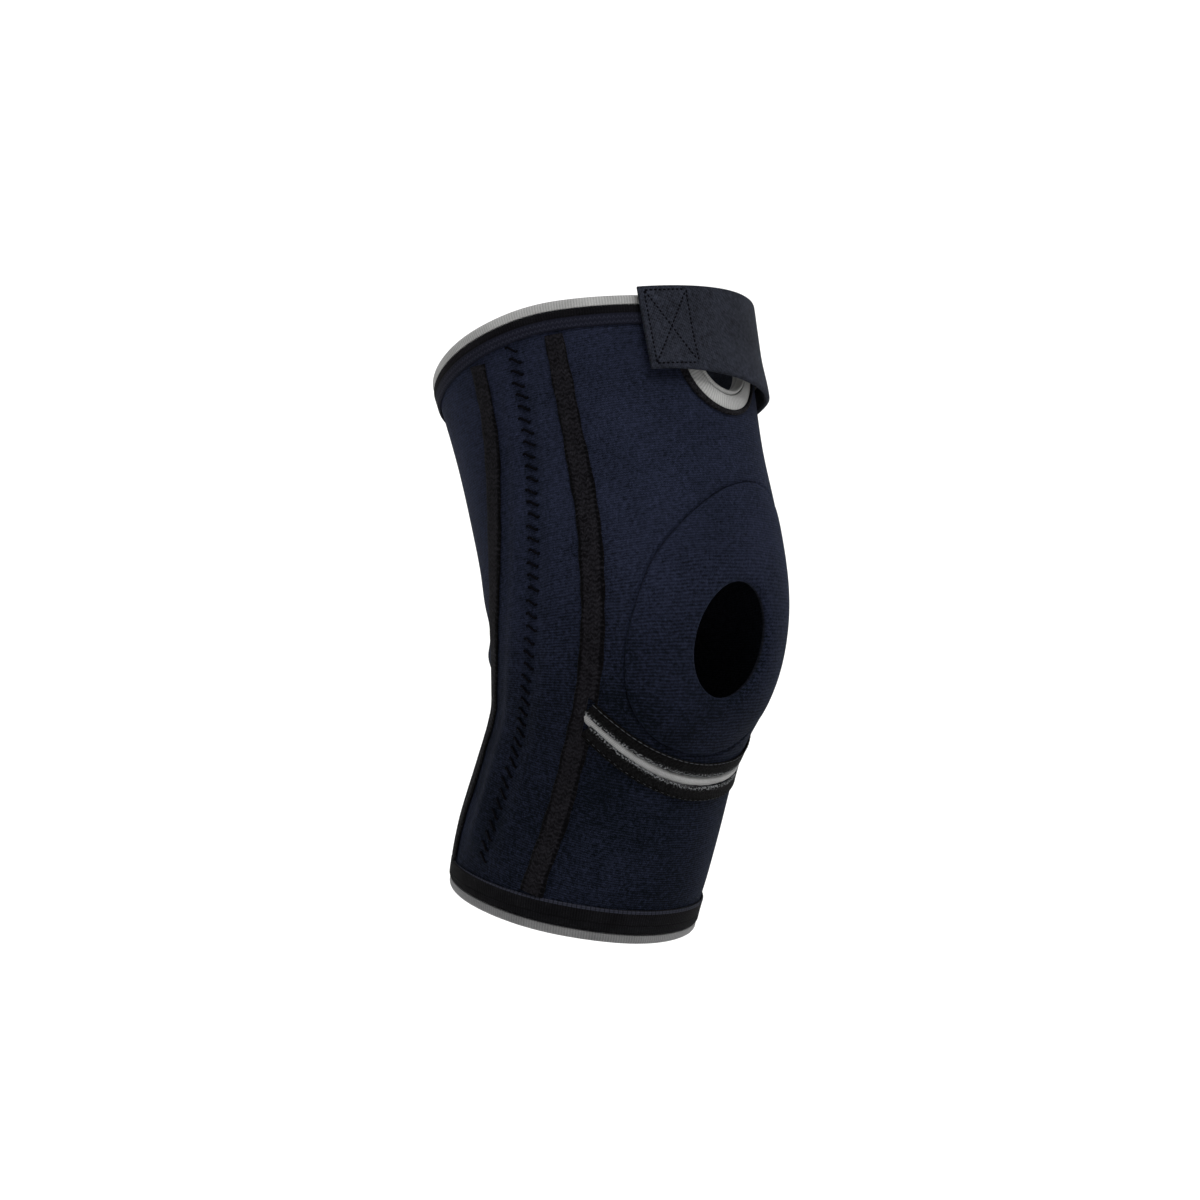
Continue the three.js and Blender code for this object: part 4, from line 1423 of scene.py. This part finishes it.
@dataclass(frozen=True)
class Strap:
    """The closing strap and the hook tab under its free end."""

    width: float = 34.5
    flare: float = 8.0
    thickness: float = 2.0
    sewn: float = math.radians(27.5)
    end: float = math.radians(-68)
    level: float = math.radians(-41)
    along: float = FORM.length - 14.6
    drop: float = 4.3
    clearance: float = 1.4
    lift: float = 3.0
    corner: float = 9.0
    tab_length: float = 24.0
    tab_width: float = 20.0
    tab_setback: float = 5.0
    stations: int = 150
    round_share: float = 0.04
    loose_until: float = 0.9

    def spread(self, u: Array) -> Array:
        """How far the strap has sunk and widened, from 0 at the sewn end."""
        return smooth((self.sewn - u) / (self.sewn - self.level))

    def line(self) -> Line:
        """The strap's middle line."""
        u = np.linspace(self.sewn, self.end, self.stations)
        return Line(u, self.along - self.drop * self.spread(u))

    def lift_at(self, share: Array, across: Array) -> Array:
        """Lift of the strap's under face: its lower edge stands off where it leaves the front."""
        loose = np.sin(math.pi * np.minimum(share / self.loose_until, 1)) ** 2
        return TRIM.top + self.clearance + self.lift * loose * smooth(across)

    def build(self, finishes: Finishes) -> list[bpy.types.Object]:
        """Makes the strap, a band with rounded far corners, and the hook tab."""
        line = self.line()
        share = np.linspace(0, 1, self.stations)[:, None]
        left = np.maximum(self.corner - (1 - share) * line.lengths()[-1], 0) / self.corner
        half = (self.width + self.flare * self.spread(line.u)[:, None]) / 2
        half = half - self.corner * (1 - np.sqrt(1 - left**2 * 0.96))
        inner = np.linspace(-1, 1, 31)
        place = np.concatenate([[-1, -0.995, -0.98, -0.96], inner[1:-1], [0.96, 0.98, 0.995, 1]])
        edge = np.clip((1 - np.abs(place)) / self.round_share, 0, 1)
        round_ = np.sqrt(1 - (1 - edge) ** 2)
        under = self.lift_at(share, place) + 0.35 * self.thickness * (1 - round_)
        top = self.lift_at(share, place) + self.thickness * (0.55 + 0.45 * round_)
        strap = ribbon("strap_cloth", line, half * place, top, under, crease=60)
        Finishes.dress(strap, Slot.STRAP, finishes.strap, node="strap")
        size = float(FORM.scale(self.end, self.along)[0])
        to = self.end + self.tab_setback / size
        below = TRIM.binding + TRIM.top_hem + TRIM.gap + TRIM.tape_short + self.tab_width / 2
        u = np.linspace(to + self.tab_length / size, to, 30)
        section = pillow(self.tab_width, TRIM.under, TRIM.top + self.clearance - TRIM.gap, 0.8, 21)
        tab = ribbon("hook_tab_tape", Line(u, FORM.rim(u) - below), *section)
        Finishes.dress(tab, Slot.HOOK, finishes.hook, node="hook_tab")
        return [strap, tab]


STRAP = Strap()


@dataclass(frozen=True)
class Stitching:
    """Threads: each stitch is a small capsule that arches over the cloth."""

    sides: int = 6
    rings: int = 5
    run_stitch: float = 2.6
    run_skip: float = 0.5
    zigzag_path: tuple[tuple[float, float], ...] = ((2.5, 0.9), (2.1, 1.9), (-2.1, -1.6), (-2.5, -0.6))
    zigzag_end: float = 14.5
    zigzag_radius: float = 0.52
    box_turns: tuple[float, float] = (2.2, 20.5)
    box_inset: float = 2.0
    box_drop: float = 0.6
    box_pitch: float = 1.9
    box_stitch: float = 1.25
    box_radius: float = 0.36

    def capsules(
        self, name: str, start: Array, end: Array, out: Array, radius: float, arch: float
    ) -> bpy.types.Object:
        """Many stitches in one mesh.

        A stitch's middle line runs from start to end and rises by arch times 1 - x^2, with x from
        -1 to 1; its radius is the thread's times the fourth root of 1 - x^4, and a pole closes
        each end.

        Args:
            name: The piece's name.
            start: First ends, in metres.
            end: Last ends.
            out: Ways out of the cloth.
            radius: The thread's radius in millimetres.
            arch: Its rise at the middle in millimetres.

        Returns:
            The object.
        """
        count = len(start)
        x = np.linspace(-0.96, 0.96, self.rings)
        share = (x + 1) / 2
        way = end - start
        length = np.linalg.norm(way, axis=1, keepdims=True)
        way = way / length
        side = np.cross(way, out)
        side /= np.linalg.norm(side, axis=1, keepdims=True)
        up = np.cross(side, way)
        middle = start[:, None] + (end - start)[:, None] * share[None, :, None]
        middle = middle + up[:, None] * (arch * MM * (1 - x**2))[None, :, None]
        thick = radius * MM * (1 - x**4) ** 0.25
        angle = np.arange(self.sides) * TURN / self.sides
        ring = side[:, None, None] * np.cos(angle)[None, None, :, None]
        ring = ring + up[:, None, None] * np.sin(angle)[None, None, :, None]
        tube = middle[:, :, None] + ring * thick[None, :, None, None]
        points = np.concatenate([tube.reshape(count, -1, 3), start[:, None], end[:, None]], 1)
        each = points.shape[1]
        k = np.arange(self.sides)
        turn = (k + 1) % self.sides
        rings = np.arange(self.rings - 1)[:, None] * self.sides
        above = rings + self.sides
        quads = np.stack([rings + k, rings + turn, above + turn, above + k], -1)
        last = (self.rings - 1) * self.sides
        first_cap = np.stack([np.full(self.sides, each - 2), turn, k, k], 1)
        last_cap = np.stack([np.full(self.sides, each - 1), last + k, last + turn, last + turn], 1)
        one = np.concatenate([quads.reshape(-1, 4), first_cap, last_cap])
        faces = (one[None] + (np.arange(count) * each)[:, None, None]).reshape(-1, 4)
        run = np.concatenate([np.repeat(share, self.sides), [0, 1]])
        girth = np.concatenate([np.tile(angle / TURN, self.rings), [0, 0]])
        uv = np.stack([run * float(length.mean()) / MM, girth], 1) * UV_PER_MM
        corners = np.tile(uv[one.ravel()], (count, 1))
        return Cloth.mesh(name, points.reshape(-1, 3), faces, np.zeros(len(faces), int), corners, 80)

    def running(self, name: str, line: Line, lift: float, radius: float) -> bpy.types.Object:
        """A row of stitches along a line, each of one length, with a skip between."""
        stitch, skip = self.run_stitch, self.run_skip
        points = FORM.point(line.u, line.s, lift)
        out = FORM.normal(line.u, line.s)
        steps = np.linalg.norm(np.diff(points, axis=0), axis=1)
        run = np.concatenate([[0.0], np.cumsum(steps)]) / MM
        begin = np.arange(0.3, run[-1] - stitch, stitch + skip)

        def at(where: Array, values: Array) -> Array:
            """Reads three columns at lengths along the line."""
            return np.stack([np.interp(where, run, values[:, k]) for k in range(3)], 1)

        ends = at(begin, points), at(begin + stitch, points)
        return self.capsules(name, *ends, at(begin + stitch / 2, out), radius, radius * 0.5)

    def zigzag(self, name: str, front: Seam, rear: Seam) -> bpy.types.Object:
        """The wide slanted stitches down the middle of a side panel."""
        s = np.arange(PANELS.pucker_start, FORM.length - 12, PANELS.pucker_pitch)
        s = s[s < FORM.rim((FORM.seam(front, s) + FORM.seam(rear, s)) / 2) - self.zigzag_end]
        middle = (FORM.seam(front, s) + FORM.seam(rear, s)) / 2
        round_, along = FORM.scale(middle, s)
        side = np.sign(middle)
        drift = 0.5 * np.sin(s * 1.7)

        def at(x: float, y: float) -> Array:
            """Points beside each stitch's middle: x mm to the rear and y mm up."""
            u = middle + side * (x + drift) / round_
            return FORM.point(u, s + y / along, FORM.wall + 0.1)

        corners = [at(x, y) for x, y in self.zigzag_path]
        out = np.tile(FORM.normal(middle, s), (3, 1))
        starts, ends = np.concatenate(corners[:-1]), np.concatenate(corners[1:])
        return self.capsules(name, starts, ends, out, self.zigzag_radius, 0.1)

    def strap_box(self) -> bpy.types.Object:
        """The box and cross that sew the strap down, as short dark stitches sunk in its face."""
        size = float(FORM.scale(0.3, STRAP.along)[0])
        left, right = (STRAP.sewn - place / size for place in self.box_turns)
        half = STRAP.width / 2
        low, high = STRAP.along - half + self.box_inset, STRAP.along + half - self.box_inset
        far_low = low - self.box_drop
        legs = [
            ((left, high), (left, low)), ((left, low), (right, far_low)),
            ((right, high), (right, far_low)), ((left, high), (right, far_low)),
            ((left, low), (right, high)), ((left, high), (right, high)),
        ]
        starts, ends, outs = [], [], []
        for (u0, s0), (u1, s1) in legs:
            length = math.hypot((u1 - u0) * size, s1 - s0)
            t = (np.arange(int(length / self.box_pitch)) + 0.15) * self.box_pitch / length
            for share, into in ((t, starts), (t + self.box_stitch / length, ends)):
                u, s = u0 + (u1 - u0) * share, s0 + (s1 - s0) * share
                way = (STRAP.sewn - u) / (STRAP.sewn - STRAP.end)
                top = STRAP.lift_at(way, (STRAP.along - s) / half)
                into.append(FORM.point(u, s, top + STRAP.thickness - 0.12))
            outs.append(FORM.normal(u0 + (u1 - u0) * t, s0 + (s1 - s0) * t))
        rows = map(np.concatenate, (starts, ends, outs))
        return self.capsules("strap_box_stitches", *rows, self.box_radius, 0.15)

    def build(self, finishes: Finishes) -> list[bpy.types.Object]:
        """Makes every thread that shows."""
        black, gray = finishes.black_yarn, finishes.gray_yarn
        made = [
            (self.zigzag("zigzag_stitches_right", Seam.FRONT_RIGHT, Seam.REAR_RIGHT), black),
            (self.zigzag("zigzag_stitches_left", Seam.FRONT_LEFT, Seam.REAR_LEFT), black),
            (self.strap_box(), black),
        ]
        edge = PIPED.edge + PIPED.tape_width - 0.5
        for name, side, sunk, radius in (
            ("piping_thread_upper", 1, 0.1, 0.17),
            ("piping_thread_lower", -1, 0.15, 0.13),
        ):
            line = PIPED.line(side * edge, PIPED.tape_width, 300)
            made.append((self.running(name, line, TRIM.top - sunk, radius), gray))
        for piece, finish in made:
            Finishes.dress(piece, Slot.TAPE, finish)
        return [piece for piece, _ in made]


PANELS = Panels()


@dataclass(frozen=True)
class Studio:
    """A pale sweep, soft lamps and the camera at the photograph's angle."""

    azimuth: float = math.radians(-46)
    distance: float = 1.4
    lens: float = 100.0
    sensor: float = 36.0
    aim: tuple[float, float] = (634.0, 662.0)
    image: float = 1200.0
    floor: float = -0.7
    flat: float = 1.2
    bend: float = 3.0
    bend_to: float = 74.0

    def camera(self) -> None:
        """Sets the camera level with the knee, looking square into the scene."""
        data = bpy.data.cameras.new("camera")
        data.lens, data.sensor_width = self.lens, self.sensor
        camera = linked("camera", data)
        back = np.array([math.sin(self.azimuth), -math.cos(self.azimuth), 0.0])
        right = np.array([math.cos(self.azimuth), math.sin(self.azimuth), 0.0])
        pixel = self.sensor / self.lens * self.distance / self.image
        place = back * self.distance - right * (self.aim[0] - self.image / 2) * pixel
        place[2] += (self.aim[1] - self.image / 2) * pixel
        camera.location = place
        camera.rotation_euler = (math.pi / 2, 0.0, self.azimuth)
        bpy.context.scene.camera = camera

    def lamp(self, name: str, azimuth: float, rise: float, spread: float, strength: float) -> None:
        """Adds a far lamp with soft edges.

        Args:
            name: The lamp's name.
            azimuth: Degrees round from the front of the knee, as the camera's.
            rise: Degrees above the level.
            spread: The lamp's apparent width in degrees.
            strength: Its strength.
        """
        data = bpy.data.lights.new(name, "SUN")
        data.energy, data.angle = strength, math.radians(spread)
        lamp = linked(name, data)
        lamp.rotation_euler = (math.radians(90 - rise), 0.0, math.radians(azimuth))

    def sweep(self) -> None:
        """A round floor that curves up into a wall: a profile turned about the upright axis."""
        turn = np.linspace(0, TURN, 97)[:-1, None]
        bend = np.radians(np.linspace(0, self.bend_to, 13))
        radius = np.concatenate([[0.001, self.flat / 2], self.flat + self.bend * np.sin(bend)])
        height = np.concatenate([[0, 0], self.bend - self.bend * np.cos(bend)]) + self.floor
        x, y = radius * np.cos(turn), radius * np.sin(turn)
        z = np.broadcast_to(height, x.shape)
        top = np.stack([x, y, z], -1)
        index = np.arange(x.size).reshape(x.shape)
        index = np.vstack([index, index[:1]])
        corners = [index[:-1, :-1], index[:-1, 1:], index[1:, 1:], index[1:, :-1]]
        faces = np.stack(corners, -1).reshape(-1, 4)
        mesh = bpy.data.meshes.new("sweep")
        mesh.from_pydata(top.reshape(-1, 3).tolist(), [], faces[:, ::-1].tolist())
        mesh.polygons.foreach_set("use_smooth", np.ones(len(faces), bool))
        floor = linked("sweep", mesh)
        paper = (0.94, 0.94, 0.94, 1.0)
        finish = Graph("pale_paper").finish(paper, None, 0.0, roughness=0.9, specular_ior_level=0.1)
        mesh.materials.append(finish)

    def build(self) -> None:
        """Sets the camera, the lamps, the sweep and the sky."""
        scene = bpy.context.scene
        scene.view_settings.view_transform = "Standard"
        world = scene.world or bpy.data.worlds.new("world")
        scene.world = world
        world.use_nodes = True
        background = world.node_tree.nodes["Background"]
        background.inputs[0].default_value = (1.0, 1.0, 1.0, 1.0)
        background.inputs[1].default_value = 0.3
        self.camera()
        self.lamp("key", -20.0, 54.0, 30.0, 2.8)
        self.lamp("fill", -80.0, 30.0, 50.0, 0.1)
        self.sweep()


@dataclass
class KneeSleeve:
    """The whole sleeve, its sub-assemblies in the order they are sewn."""

    finishes: Finishes = field(default_factory=Finishes)

    def build(self) -> None:
        """Makes every sub-assembly and logs its pieces."""
        for part in (PANELS, PAD, PIPED, SeamTapes(), Rims(), NOTCH, STRAP, Stitching()):
            for piece in part.build(self.finishes):
                faces = len(piece.data.polygons)
                LOG.info("%s: %s, %d faces", type(part).__name__, piece.name, faces)


def main() -> None:
    """Loads the frame, dresses it and sets the studio."""
    logging.basicConfig(level=logging.INFO, format="%(message)s")
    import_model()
    Studio().build()
    KneeSleeve().build()


if __name__ == "__main__":
    main()
